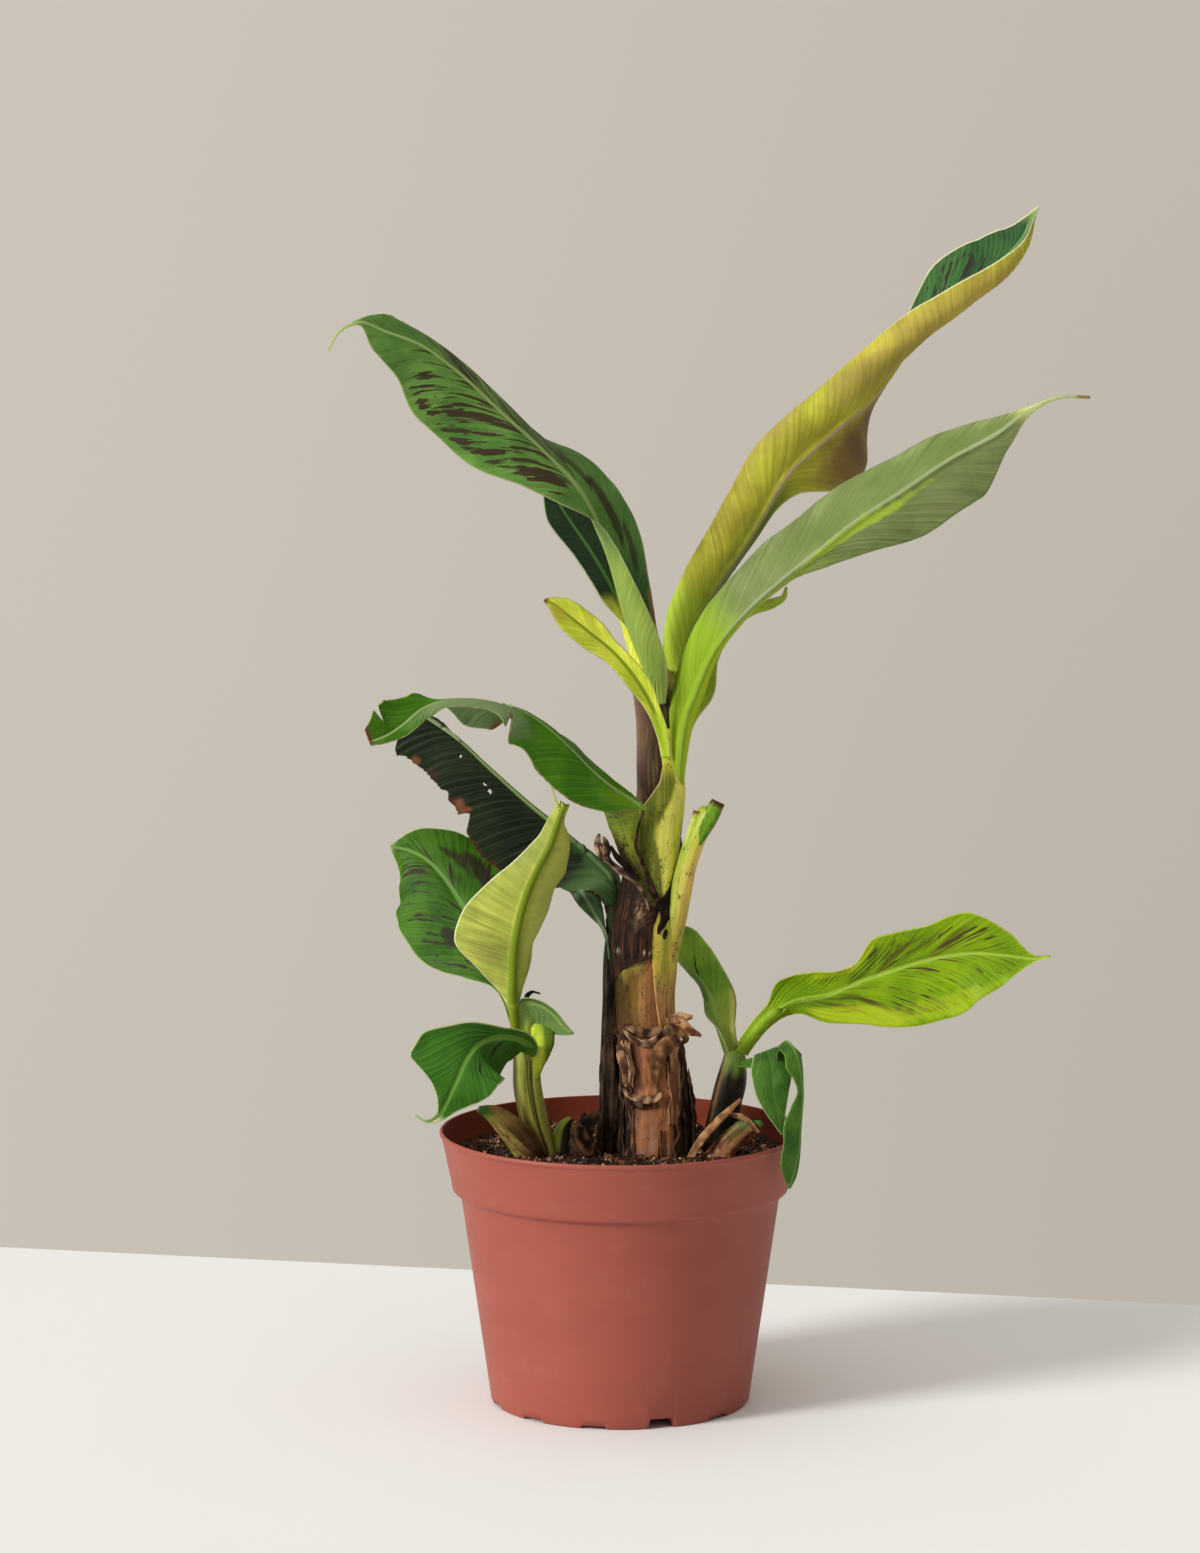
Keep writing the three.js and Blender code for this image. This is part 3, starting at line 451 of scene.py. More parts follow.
def make_leaf_group():
    """A leaf face's colour, roughness and height, from its place on the blade."""
    nodes, given, result = new_group(
        "leaf_face",
        {"Blade": "vector", "Edge": "vector", "Base": "colour", "Deep": "colour", "Foot": "colour",
         "Foot end": "value", "Tip": "colour", "Tip start": "value", "Rib": "colour", "Rib half": "value",
         "Vein": "colour", "Vein amount": "value", "Slant": "value", "Fleck": "colour",
         "Fleck amount": "value", "Fleck length": "value", "Fleck from": "value", "Fleck to": "value",
         "Fleck side": "value", "Border": "colour", "Border width": "value", "Scorch": "colour",
         "Scorch reach": "value", "Gloss": "value"},
        {"Colour": "colour", "Roughness": "value", "Height": "value"})
    _, across, _ = nodes.parts(given["Blade"])
    margin, share, _ = nodes.parts(given["Edge"])
    out = nodes.calc("ABSOLUTE", across)
    veins = nodes.use(VEINS, blade=given["Blade"], slant=given["Slant"])

    patches = nodes.cloud(given["Blade"], 26, 3.0, 0.55)
    tone = nodes.blend(nodes.rise(patches, 0.38, 0.64), given["Base"], given["Deep"])
    stretch = nodes.rise(share, given["Foot end"], nodes.times(given["Foot end"], 0.72))
    tone = nodes.blend(stretch, tone, given["Foot"])
    tip = nodes.rise(share, given["Tip start"], nodes.plus(given["Tip start"], 0.05))
    tone = nodes.blend(tip, tone, given["Tip"])

    bright = nodes.plus(0.12, nodes.times(veins["Streaks"], 1.1))
    bright = nodes.plus(bright, nodes.times(veins["Bands"], 0.7))
    shade = nodes.place(bright, bright, bright)
    tone = nodes.blend(1.0, tone, shade, "MULTIPLY")
    lines = nodes.times(veins["Lines"], given["Vein amount"])
    tone = nodes.blend(lines, tone, given["Vein"])

    begun = nodes.rise(share, nodes.minus(given["Fleck from"], 0.06), nodes.plus(given["Fleck from"], 0.06))
    ended = nodes.rise(share, nodes.plus(given["Fleck to"], 0.06), nodes.minus(given["Fleck to"], 0.06))
    zone = nodes.times(begun, ended)
    sided = nodes.times(nodes.calc("SIGN", across), given["Fleck side"])
    zone = nodes.times(zone, nodes.rise(sided, -0.6, -0.2))
    zone = nodes.times(zone, nodes.rise(margin, 0.001, 0.009))
    flecks = nodes.use(FLECKS, slanted=veins["Slanted"], across=across,
                       amount=nodes.times(given["Fleck amount"], zone), length=given["Fleck length"])
    some = nodes.rise(zone, 0.02, 0.2)
    spotted = nodes.times(nodes.times(flecks["Mask"], some), nodes.rise(given["Fleck amount"], 0.0, 0.05))
    spotted = nodes.times(spotted, nodes.plus(0.62, nodes.times(veins["Streaks"], 0.6)))
    tone = nodes.blend(spotted, tone, given["Fleck"])

    taper = nodes.minus(1.15, nodes.times(share, 0.75))
    half = nodes.times(given["Rib half"], taper)
    rib = nodes.rise(out, nodes.times(half, 1.5), nodes.times(half, 0.75))
    seen = nodes.minus(0.92, nodes.times(stretch, 0.8))
    tone = nodes.blend(nodes.times(rib, seen), tone, given["Rib"])
    # A pale line along the margin: partly the blade's own pale edge, partly a painted highlight along it
    border = nodes.rise(margin, given["Border width"], nodes.times(given["Border width"], 0.35))
    tone = nodes.blend(border, tone, given["Border"])
    scorch = nodes.use(SCORCH, blade=given["Blade"], margin=margin, reach=given["Scorch reach"])
    burnt = nodes.blend(nodes.rise(veins["Streaks"], 0.35, 0.7), given["Scorch"], (0.012, 0.008, 0.005, 1))
    tone = nodes.blend(scorch["Mask"], tone, burnt)

    rough = nodes.plus(given["Gloss"], nodes.times(veins["Bands"], 0.16))
    rough = nodes.plus(rough, nodes.times(scorch["Mask"], 0.3))
    height = nodes.plus(nodes.times(veins["Streaks"], 0.5), veins["Bands"])
    height = nodes.minus(height, nodes.times(veins["Lines"], 0.35))
    height = nodes.times(height, nodes.minus(1.0, nodes.times(rib, 0.85)))
    nodes.feed(result["Colour"], tone)
    nodes.feed(result["Roughness"], rough)
    nodes.feed(result["Height"], height)
    return nodes.tree


LEAF_FACE = make_leaf_group()

# What a leaf face looks like unless its own list says otherwise
PLAIN_FACE = dict(
    base=0x4e8038, deep=0x3a6c2e, foot=0x8a9c40, foot_end=0.12, tip=0xc9c98a, tip_start=0.97,
    rib=0x93ad5c, rib_half=0.0016, vein=0x85a765, vein_amount=0.16, slant=1.0, fleck=0x402a28,
    fleck_amount=0.0, fleck_length=0.016, fleck_from=0.0, fleck_to=1.0, fleck_side=0.0,
    border=0xb9c384, border_width=0.0009, scorch=0x5a3a22, scorch_reach=0.0, gloss=0.4)


def new_material(name):
    """A new material with its nodes, its shader and its output."""
    made = bpy.data.materials.new(name)
    made.use_nodes = True
    nodes = Nodes(made.node_tree)
    shader = made.node_tree.nodes["Principled BSDF"]
    output = made.node_tree.nodes["Material Output"]
    return made, nodes, shader, output


def add_bump(nodes, shader, height, strength, distance):
    """Lets a height shade the surface."""
    bump = nodes.add("ShaderNodeBump", {"Height": height})
    bump.inputs["Strength"].default_value = strength
    bump.inputs["Distance"].default_value = distance
    nodes.feed(shader.inputs["Normal"], bump.outputs[0])


def let_light_through(nodes, shader, output, tone, share):
    """Mixes light that comes through the blade into the shader."""
    through = nodes.add("ShaderNodeBsdfTranslucent", {"Color": tone})
    mix = nodes.add("ShaderNodeMixShader", {1: shader.outputs[0], 2: through.outputs[0]})
    mix.inputs[0].default_value = share
    nodes.feed(output.inputs["Surface"], mix.outputs[0])


def leaf_material(name, marked=1.0, **changes):
    """One face of a leaf. Its tint attribute lays placed marks over the pattern."""
    look = {**PLAIN_FACE, **changes}
    made, nodes, shader, output = new_material(name)
    inputs = {}
    for key, value in look.items():
        inputs[key] = colour(value) if isinstance(value, int) and value > 255 else value
    inputs["blade"] = nodes.add("ShaderNodeUVMap", uv_map="blade").outputs[0]
    inputs["edge"] = nodes.add("ShaderNodeUVMap", uv_map="edge").outputs[0]
    face = nodes.use(LEAF_FACE, **inputs)
    tint = nodes.add("ShaderNodeAttribute", attribute_name="tint")
    cover = nodes.times(tint.outputs["Alpha"], marked)
    tone = nodes.blend(cover, face["Colour"], tint.outputs["Color"])
    nodes.feed(shader.inputs["Base Color"], tone)
    nodes.feed(shader.inputs["Roughness"], face["Roughness"])
    shader.inputs["Specular IOR Level"].default_value = 0.13
    add_bump(nodes, shader, face["Height"], 0.4, 0.0005)
    let_light_through(nodes, shader, output, tone, 0.2)
    return made


def skin_material(name, fineness, rough, dark=0x20140c, stain=0.3, relief=0.0006, spots=0.0):
    """A stem or a husk: its tint attribute is the colour, with fibres and stains over it."""
    made, nodes, shader, _ = new_material(name)
    skin = nodes.add("ShaderNodeUVMap", uv_map="blade").outputs[0]
    tint = nodes.add("ShaderNodeAttribute", attribute_name="tint").outputs["Color"]
    fibres = nodes.use(FIBRES, skin=skin, fineness=fineness)
    bright = nodes.plus(0.3, nodes.times(fibres["Streaks"], 0.95))
    bright = nodes.plus(bright, nodes.times(fibres["Bands"], 0.45))
    tone = nodes.blend(1.0, tint, nodes.place(bright, bright, bright), "MULTIPLY")
    stains = nodes.times(nodes.rise(fibres["Stains"], 0.52, 0.68), stain)
    tone = nodes.blend(stains, tone, colour(dark))
    if spots > 0:
        cells = nodes.add("ShaderNodeTexVoronoi", {"Vector": skin, "Scale": 360.0})
        dots = nodes.rise(cells.outputs["Distance"], 0.34, 0.2)
        patch = nodes.rise(fibres["Stains"], 0.5, 0.6)
        dots = nodes.times(nodes.times(dots, patch), spots)
        tone = nodes.blend(dots, tone, colour(dark))
    nodes.feed(shader.inputs["Base Color"], tone)
    level = nodes.plus(rough, nodes.times(stains, 0.3))
    nodes.feed(shader.inputs["Roughness"], level)
    shader.inputs["Specular IOR Level"].default_value = 0.12
    height = nodes.plus(fibres["Streaks"], nodes.times(fibres["Bands"], 1.6))
    add_bump(nodes, shader, height, 0.7, relief)
    return made


# Mesh helpers

def finish_object(name, mesh, materials):
    """A bmesh as a smooth object at the origin."""
    for face in mesh.faces:
        face.smooth = True
    data = bpy.data.meshes.new(name)
    mesh.to_mesh(data)
    mesh.free()
    for item in materials:
        data.materials.append(item)
    made = bpy.data.objects.new(name, data)
    bpy.context.scene.collection.objects.link(made)
    return made


def give_walls(made, thickness, by_group=True):
    """Gives an open sheet its thickness, under its upper face."""
    wall = made.modifiers.new("thickness", "SOLIDIFY")
    wall.thickness = thickness * MM
    wall.offset = -1
    wall.use_rim = True
    wall.use_quality_normals = True
    if len(made.data.materials) > 1:
        wall.material_offset = 1
        wall.material_offset_rim = 1
    if by_group:
        made.vertex_groups.new(name="thickness")
        wall.vertex_group = "thickness"
    return made


def attach(made, slot, *nodes_replaced):
    """Puts a piece on the one body and in place of its nodes. The slot is not used."""
    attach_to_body(made, "root")
    if nodes_replaced:
        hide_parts(*nodes_replaced)


def smooth_rows(stations, step):
    """A smooth run of rows through the stations, and each row's place counted in stations.

    The first three values are a point. The others never overshoot their stations."""
    chords = [math.dist(a[:3], b[:3]) for a, b in zip(stations, stations[1:])]
    slopes = []
    for i, row in enumerate(stations):
        slope = []
        for k, value in enumerate(row):
            before = (value - stations[i - 1][k]) / chords[i - 1] if i > 0 else None
            after = (stations[i + 1][k] - value) / chords[i] if i < len(chords) else None
            if before is None:
                slope.append(after)
            elif after is None:
                slope.append(before)
            elif k > 2 and before * after <= 0:
                slope.append(0.0)
            else:
                slope.append((before * chords[i] + after * chords[i - 1]) / (chords[i - 1] + chords[i]))
        slopes.append(slope)
    rows = []
    places = []
    for i, chord in enumerate(chords):
        steps = max(1, round(chord / step))
        for n in range(steps):
            s = n / steps
            start = 2 * s ** 3 - 3 * s ** 2 + 1
            leave = (s ** 3 - 2 * s ** 2 + s) * chord
            arrive = (s ** 3 - s ** 2) * chord
            rows.append([start * a + leave * out + (1 - start) * b + arrive * into
                         for a, out, b, into in zip(stations[i], slopes[i], stations[i + 1], slopes[i + 1])])
            places.append(i + s)
    rows.append(list(stations[-1]))
    places.append(float(len(chords)))
    return rows, places


def row_frames(rows, face):
    """At each row: its point, and the directions to the right of the way of growth and to the face side."""
    points = [Vector(row[:3]) for row in rows]
    frames = []
    for i, point in enumerate(points):
        way = (points[min(i + 1, len(points) - 1)] - points[max(i - 1, 0)]).normalized()
        front = (face - way * face.dot(way)).normalized()
        frames.append((point, way.cross(front), front))
    return frames


def lengths_along(frames):
    """How far along the run each frame is."""
    reach = [0.0]
    for before, after in zip(frames, frames[1:]):
        reach.append(reach[-1] + (after[0] - before[0]).length)
    return reach


def write_uv(mesh, layer, spots):
    """Lays each vertex's place into a UV layer."""
    for face in mesh.faces:
        for loop in face.loops:
            loop[layer].uv = spots[loop.vert]


def paint_by_place(made, tone):
    """Gives each point of a piece the tone of its place."""
    tint = made.data.attributes["tint"]
    for vertex, item in zip(made.data.vertices, tint.data):
        item.color = tone(vertex.co / MM)


def half_blade(row_frame, width, start, end, turn, shares):
    """Points from the rib to the margin, each with the upper face's normal."""
    point, side, front = row_frame
    place = point.copy()
    result = [(point.copy(), side * math.cos(math.radians(start) + turn * math.pi / 2)
               + front * math.sin(math.radians(start) + turn * math.pi / 2))]
    for before, share in zip(shares, shares[1:]):
        middle = (before + share) / 2
        angle = math.radians(start + (end - start) * middle * middle * (3 - 2 * middle))
        place = place + (side * math.cos(angle) + front * math.sin(angle)) * (width * (share - before))
        angle = math.radians(start + (end - start) * share * share * (3 - 2 * share)) + turn * math.pi / 2
        result.append((place, side * math.cos(angle) + front * math.sin(angle)))
    return result


# How a blade is shaped unless its own list says otherwise: how far its margin waves, its pleats along
# the side veins, the channel over its rib, crumpling, torn edges, thickness of blade, rib and stalk
PLAIN_SHAPE = dict(
    ruffle=2.0, ruffle_length=32.0, pleat=0.28, pleat_step=6.3, groove=0.7, groove_half=2.2, crumple=0.0,
    slant=1.0, ragged=0.0, blade=0.55, rib=1.4, rib_half=2.4, stalk=0.0, stalk_end=0.0, nicks=(), holes=(),
    marks=(), mark_shear=0.0, seed=0.0)


def nick_depth(nicks, place, side):
    """How much of the half-blade the tears take away at this place."""
    depth = 0.0
    for nick_side, centre, half, share in nicks:
        if nick_side == side and abs(place - centre) < half:
            depth = max(depth, share * (1 - abs(place - centre) / half) ** 0.8)
    return depth


def blade_row(shape, row, frame, along, place, shares):
    """A row from margin to margin: point, normal, side, the half-blade's width and the share of it."""
    halves = []
    seed = shape["seed"]
    for side, (width, start, end) in ((-1, row[3:6]), (1, row[6:9])):
        fray = shape["ragged"] * (grain(along / 2.7, seed, side) + 0.6 * grain(along / 7, seed, side + 5))
        width = width * (1 - nick_depth(shape["nicks"], place, side)) + fray * min(1, width / 10)
        width = max(0.4, width)
        run = half_blade(frame, width, start, end, side, shares)
        halves.append([(point, normal, side, width, share) for (point, normal), share in zip(run, shares)])
    left, right = halves
    rib = (left[0][0], (left[0][1] + right[0][1]).normalized(), 0, max(left[0][3], right[0][3]), 0.0)
    return left[:0:-1] + [rib] + right[1:]


def blade_lift(shape, along, out, side, share, fade):
    """How far a point stands off the smooth sheet: waves, pleats, crumpling and the channel."""
    seed = shape["seed"]
    slanted = along - VEIN_LEAN_MM * shape["slant"] * math.sqrt(out)
    lift = shape["ruffle"] * share ** 2 * fade * grain(slanted / shape["ruffle_length"], seed, side * 3)
    lift += shape["ruffle"] * 0.35 * share ** 3 * fade * grain(slanted / 9, seed, side * 5 + 2)
    wave = math.sin(2 * math.pi * slanted / shape["pleat_step"] + 2 * grain(along / 30, out / 30, seed))
    lift += shape["pleat"] * wave * 4 * share * (1.05 - share) * fade
    folds = grain(along / 9, out * side / 6, seed) + 0.5 * grain(along / 4, out / 3, seed)
    lift += shape["crumple"] * folds
    return lift - shape["groove"] * fade * math.exp(-(out / shape["groove_half"]) ** 2)


def blade_thickness(shape, along, length, out, share, fade):
    """The sheet's thickness at a point, with its rib and its stalk."""
    thick = shape["blade"]
    if shape["stalk"]:
        stalk = shape["stalk"] * soft(along, shape["stalk_end"], shape["stalk_end"] * 0.55)
        thick += stalk * (1 - 0.85 * share ** 2)
    rib = shape["rib"] * fade * math.exp(-(out / shape["rib_half"]) ** 2)
    return thick + rib * (1 - 0.6 * along / length)


def blade(name, stations, materials, face=FRONT, **changes):
    """A leaf, sheath or strip from its stations: a fine sheet with channel, pleats, waves and torn edges."""
    shape = {**PLAIN_SHAPE, **changes}
    rows, places = smooth_rows(stations, ROW_STEP)
    frames = row_frames(rows, face)
    reach = lengths_along(frames)
    widest = max(max(row[3], row[6]) for row in rows)
    columns = max(5, round(widest / COLUMN_STEP))
    shares = [n / columns * (0.6 + 0.4 * n / columns) for n in range(columns + 1)]
    thickest = shape["blade"] + shape["rib"] + shape["stalk"]
    lattice = [blade_row(shape, *parts, shares) for parts in zip(rows, frames, reach, places)]

    mesh = bmesh.new()
    bmesh.ops.create_grid(mesh, x_segments=2 * columns, y_segments=len(rows) - 1, size=1)
    blade_uv = mesh.loops.layers.uv.new("blade")
    edge_uv = mesh.loops.layers.uv.new("edge")
    tint = mesh.verts.layers.float_color.new("tint")
    weight = mesh.verts.layers.deform.verify()
    spots, edges, spans = {}, {}, {}
    for vertex in mesh.verts:
        i = round((vertex.co.y + 1) / 2 * (len(rows) - 1))
        j = round((vertex.co.x + 1) * columns)
        point, normal, side, width, share = lattice[i][j]
        out = width * share
        along = reach[i]
        fade = min(1.0, width / FULL_WIDTH)
        vertex.co = (point + normal * blade_lift(shape, along, out, side, share, fade)) * MM
        thick = blade_thickness(shape, along, reach[-1], out, share, fade)
        vertex[weight][0] = min(1.0, thick / thickest)
        vertex[tint] = mark_tint(shape, places[i], side * share, along, side * out)
        spots[vertex] = (along * MM, side * out * MM)
        edges[vertex] = ((width - out) * MM, along / reach[-1])
        spans[vertex] = (places[i], side * share)
    write_uv(mesh, blade_uv, spots)
    write_uv(mesh, edge_uv, edges)
    cut_holes(mesh, shape["holes"], spans)
    return give_walls(finish_object(name, mesh, materials), thickest)


def mark_tint(shape, place, share, along, across):
    """The colour laid over the pattern here: soft blots at named places, counted in stations and shares."""
    tone = (0.0, 0.0, 0.0)
    cover = 0.0
    for centre, centre_share, reach, spread, code, strength in shape["marks"]:
        shift = place - centre - shape["mark_shear"] * (abs(share) - abs(centre_share))
        distance = math.hypot(shift / reach, (share - centre_share) / spread)
        distance += (0.3 if spread < 0.3 else 0.07) * grain(along / 6, across / 6, shape["seed"] + centre)
        here = strength * soft(distance, 1.2, 0.5 if spread > 0.3 else 0.75)
        if here > 0:
            tone = mixed(tone, colour(code)[:3], here / max(here, cover + here * (1 - cover)))
            cover = cover + here * (1 - cover)
    return (*tone, cover)


def cut_holes(mesh, holes, spans):
    """Deletes the faces inside small holes, placed in stations and shares of the half-blade."""
    gone = []
    for face in mesh.faces:
        corners = [spans[vertex] for vertex in face.verts]
        place = sum(corner[0] for corner in corners) / len(corners)
        share = sum(corner[1] for corner in corners) / len(corners)
        if any(math.hypot((place - p) / reach, (share - s) / spread) < 1 for p, s, reach, spread in holes):
            gone.append(face)
    if gone:
        bmesh.ops.delete(mesh, geom=gone, context="FACES")


def row_at(rows, key, height):
    """The row at a height, between the listed ones. The key says which of a row's values is its height."""
    if height <= rows[0][key]:
        return rows[0]
    for before, after in zip(rows, rows[1:]):
        if height <= after[key]:
            share = (height - before[key]) / (after[key] - before[key])
            return [a + (b - a) * share for a, b in zip(before, after)]
    return rows[-1]


def wrapped_skin(name, rows, paint, relief, material, sides=SKIN_SIDES):
    """A stem with a domed end: a grid rolled round the rows. Degrees are 0 in front and 90 on the right."""
    frames = row_frames(rows, FRONT)
    reach = lengths_along(frames)
    mesh = bmesh.new()
    bmesh.ops.create_grid(mesh, x_segments=sides, y_segments=len(rows) - 1, size=1)
    skin_uv = mesh.loops.layers.uv.new("blade")
    tint = mesh.verts.layers.float_color.new("tint")
    spots = {}
    for vertex in mesh.verts:
        i = round((vertex.co.y + 1) / 2 * (len(rows) - 1))
        degrees = vertex.co.x * 180
        point, side, front = frames[i]
        radius = rows[i][3]
        left = (reach[-1] - reach[i]) / max(1.0, radius * 0.6)
        radius *= math.sqrt(max(0.0, 1 - (1 - min(1.0, left)) ** 2))
        wrap = degrees if abs(degrees) < 179.99 else 180.0
        radius = max(0.02, radius + relief(wrap, reach[i], point.z) * min(1.0, radius / 6))
        angle = math.radians(90 - degrees)
        vertex.co = (point + (side * math.cos(angle) + front * math.sin(angle)) * radius) * MM
        vertex[tint] = (*paint(wrap, reach[i], point.z)[:3], 1.0)
        spots[vertex] = (math.radians(degrees) * rows[i][3] * MM, reach[i] * MM)
    write_uv(mesh, skin_uv, spots)
    bmesh.ops.remove_doubles(mesh, verts=mesh.verts, dist=0.02 * MM)
    bmesh.ops.recalc_face_normals(mesh, faces=mesh.faces)
    return finish_object(name, mesh, [material])


# Pot and soil

def pot_radius(z):
    """The body's outer radius at a height under the band."""
    return BASE_RADIUS + (BODY_TOP_RADIUS - BASE_RADIUS) * z / BODY_TOP_Z


def plastic_material(name, light, dark, rough=0.44, shine=0.4):
    """Satin moulded plastic with faint flow marks and a little dust."""
    made, nodes, shader, _ = new_material(name)
    where = nodes.add("ShaderNodeTexCoord").outputs["Object"]
    x, y, z = nodes.parts(where)
    ripple = nodes.cloud(nodes.place(x, y, nodes.times(z, 3)), 9, 3.0, 0.55)
    fine = nodes.cloud(where, 1400, 2.0, 0.5)
    tone = nodes.blend(nodes.rise(ripple, 0.3, 0.75), colour(light), colour(dark))
    dust = nodes.times(nodes.rise(nodes.cloud(where, 60, 4.0, 0.6), 0.5, 0.8), 0.05)
    tone = nodes.blend(dust, tone, colour(0xc99a86))
    nodes.feed(shader.inputs["Base Color"], tone)
    nodes.feed(shader.inputs["Roughness"], nodes.plus(rough, nodes.times(ripple, 0.14)))
    shader.inputs["Specular IOR Level"].default_value = shine
    add_bump(nodes, shader, nodes.plus(nodes.times(fine, 0.3), ripple), 0.12, 0.0003)
    return made


def turned(profile, sides):
    """Radii and heights spun round the pot's middle line."""
    mesh = bmesh.new()
    ring = [mesh.verts.new((radius * MM, 0, z * MM)) for radius, z in profile]
    edges = [mesh.edges.new(pair) for pair in zip(ring, ring[1:])]
    bmesh.ops.spin(mesh, geom=ring + edges, cent=(0, 0, 0), axis=(0, 0, 1), angle=2 * math.pi, steps=sides,
                   use_merge=True)
    bmesh.ops.remove_doubles(mesh, verts=mesh.verts, dist=0.01 * MM)
    return mesh


def build_pot():
    """The pot's wall turned from its profile, with drain gaps raised in its foot."""
    profile = [
        (0, 5), (60, 5), (80, 4), (84, 2.6), (85, 0.4), (86, 0), (89.6, 0), (90.6, 0.5), (91.2, 1.6)]
    profile += [(pot_radius(z), z) for z in (8, 30, 60, 90, 118, 136, 143)]
    profile += [
        (BODY_TOP_RADIUS + 0.2, BODY_TOP_Z), (BODY_TOP_RADIUS + 1.4, BODY_TOP_Z + 2.4),
        (BAND_FOOT_RADIUS - 2.6, BAND_FOOT_Z - 6.4), (BAND_FOOT_RADIUS - 1.2, BAND_FOOT_Z - 5.2),
        (BAND_FOOT_RADIUS - 0.5, BAND_FOOT_Z - 3.4), (BAND_FOOT_RADIUS - 0.2, BAND_FOOT_Z),
        (BAND_FOOT_RADIUS + 2.4, BAND_FOOT_Z + 12), (BAND_FOOT_RADIUS + 4.6, BAND_FOOT_Z + 23),
        (RIM_RADIUS - 1.7, POT_HEIGHT - RIM_LIP - 1.4), (RIM_RADIUS - 1.4, POT_HEIGHT - RIM_LIP - 0.4),
        (RIM_RADIUS - 0.5, POT_HEIGHT - RIM_LIP + 0.2), (RIM_RADIUS, POT_HEIGHT - RIM_LIP + 1.0),
        (RIM_RADIUS, POT_HEIGHT - 1.1), (RIM_RADIUS - 0.4, POT_HEIGHT - 0.3), (RIM_RADIUS - 1.2, POT_HEIGHT),
        (RIM_RADIUS - WALL + 0.3, POT_HEIGHT - 0.2), (RIM_RADIUS - WALL, POT_HEIGHT - 1),
        (RIM_RADIUS - WALL - 1.6, POT_HEIGHT - 8), (BAND_FOOT_RADIUS - WALL, BAND_FOOT_Z),
        (BODY_TOP_RADIUS - WALL, BODY_TOP_Z), (BASE_RADIUS - WALL + 1, 7.4), (0, 7.4)]
    mesh = turned(profile, POT_SIDES)
    for vertex in mesh.verts:
        raise_drain(vertex)
    bmesh.ops.recalc_face_normals(mesh, faces=mesh.faces)
    for face in mesh.faces:
        middle = face.calc_center_median()
        outward = Vector((middle.x, middle.y, 0)).normalized()
        face.material_index = 1 if middle.z > 0.01 and face.normal.dot(outward) < -0.5 else 0
    outside = plastic_material("terracotta_plastic", 0x984a3a, 0x924537)
    # The inside is the same plastic, given darker colours as painted shade
    inside = plastic_material("terracotta_inside_painted_shade", 0x7a3624, 0x662a1a, 0.7, 0.1)
    attach(finish_object("pot_shell", mesh, [outside, inside]), "pot_plastic", "pot")


def raise_drain(vertex):
    """Lifts a foot vertex inside a drain gap up to the gap's roof."""
    radius = math.hypot(vertex.co.x, vertex.co.y) / MM
    height = vertex.co.z / MM
    if radius < BASE_RADIUS - DRAIN_REACH or height > TALL_DRAIN_HEIGHT + 2:
        return
    turn = math.degrees(math.atan2(vertex.co.x, -vertex.co.y))
    half = math.degrees(DRAIN_WIDTH / 2 / BASE_RADIUS)
    for i in range(DRAIN_GAPS):
        centre = FIRST_DRAIN_ANGLE + 360 / DRAIN_GAPS * i
        apart = abs((turn - centre + 180) % 360 - 180)
        roof = TALL_DRAIN_HEIGHT if i == TALL_DRAIN else DRAIN_HEIGHT
        if apart < half and height < roof:
            vertex.co.z = (roof + height * 0.02) * MM


def soil_height(x, y):
    """The loose soil's surface."""
    radius = math.hypot(x, y)
    z = SOIL_Z + SOIL_HEAP - SOIL_EDGE_DROP * soft(radius, SOIL_EDGE_FROM, SOIL_EDGE_TO)
    z += 1.6 * grain(x / 22, y / 22) + 1.0 * grain(x / 7, y / 7, 3) + 0.7 * grain(x / 2.6, y / 2.6, 6)
    return z


def soil_material(name, light, dark, scale):
    """Moist crumbs in two tones, with pale bits between them."""
    made, nodes, shader, _ = new_material(name)
    where = nodes.add("ShaderNodeTexCoord").outputs["Object"]
    crumbs = nodes.cloud(where, scale, 5.0, 0.7)
    fine = nodes.cloud(where, scale * 3.1, 3.0, 0.6)
    tone = nodes.blend(nodes.rise(crumbs, 0.36, 0.66), colour(dark), colour(light))
    tone = nodes.blend(nodes.times(nodes.rise(fine, 0.6, 0.78), 0.45), tone, colour(0x9a7452))
    nodes.feed(shader.inputs["Base Color"], tone)
    shader.inputs["Roughness"].default_value = 0.92
    shader.inputs["Specular IOR Level"].default_value = 0.2
    add_bump(nodes, shader, nodes.plus(crumbs, nodes.times(fine, 0.5)), 0.9, 0.0012)
    return made


def build_soil():
    """The filling: a rough top that closes down to a flat foot inside the pot."""
    inside = BAND_FOOT_RADIUS - WALL - SOIL_GAP
    edge = inside + (RIM_RADIUS - BAND_FOOT_RADIUS) / (POT_HEIGHT - BAND_FOOT_Z) * 10
    top = [(0, 0)] + [(1 + n * (edge - 1) / SOIL_RINGS, 0) for n in range(SOIL_RINGS + 1)]
    outer = [(inside, BAND_FOOT_Z), (BODY_TOP_RADIUS - WALL - SOIL_GAP, BODY_TOP_Z),
             (BASE_RADIUS - WALL, SOIL_FOOT_Z), (0, SOIL_FOOT_Z)]
    # The sides are spun a metre lower, which tells them from the rough top
    sunk = 1000
    mesh = turned(top + [(radius, z - sunk) for radius, z in outer], SOIL_SIDES)
    for vertex in mesh.verts:
        if vertex.co.z < -0.1:
            vertex.co.z += sunk * MM
        else:
            vertex.co.z = soil_height(vertex.co.x / MM, vertex.co.y / MM) * MM
    bmesh.ops.recalc_face_normals(mesh, faces=mesh.faces)
    peat = soil_material("moist_peat", 0x4a3220, 0x160d08, 420)
    attach(finish_object("soil_filling", mesh, [peat]), "potting_mix", "soil")


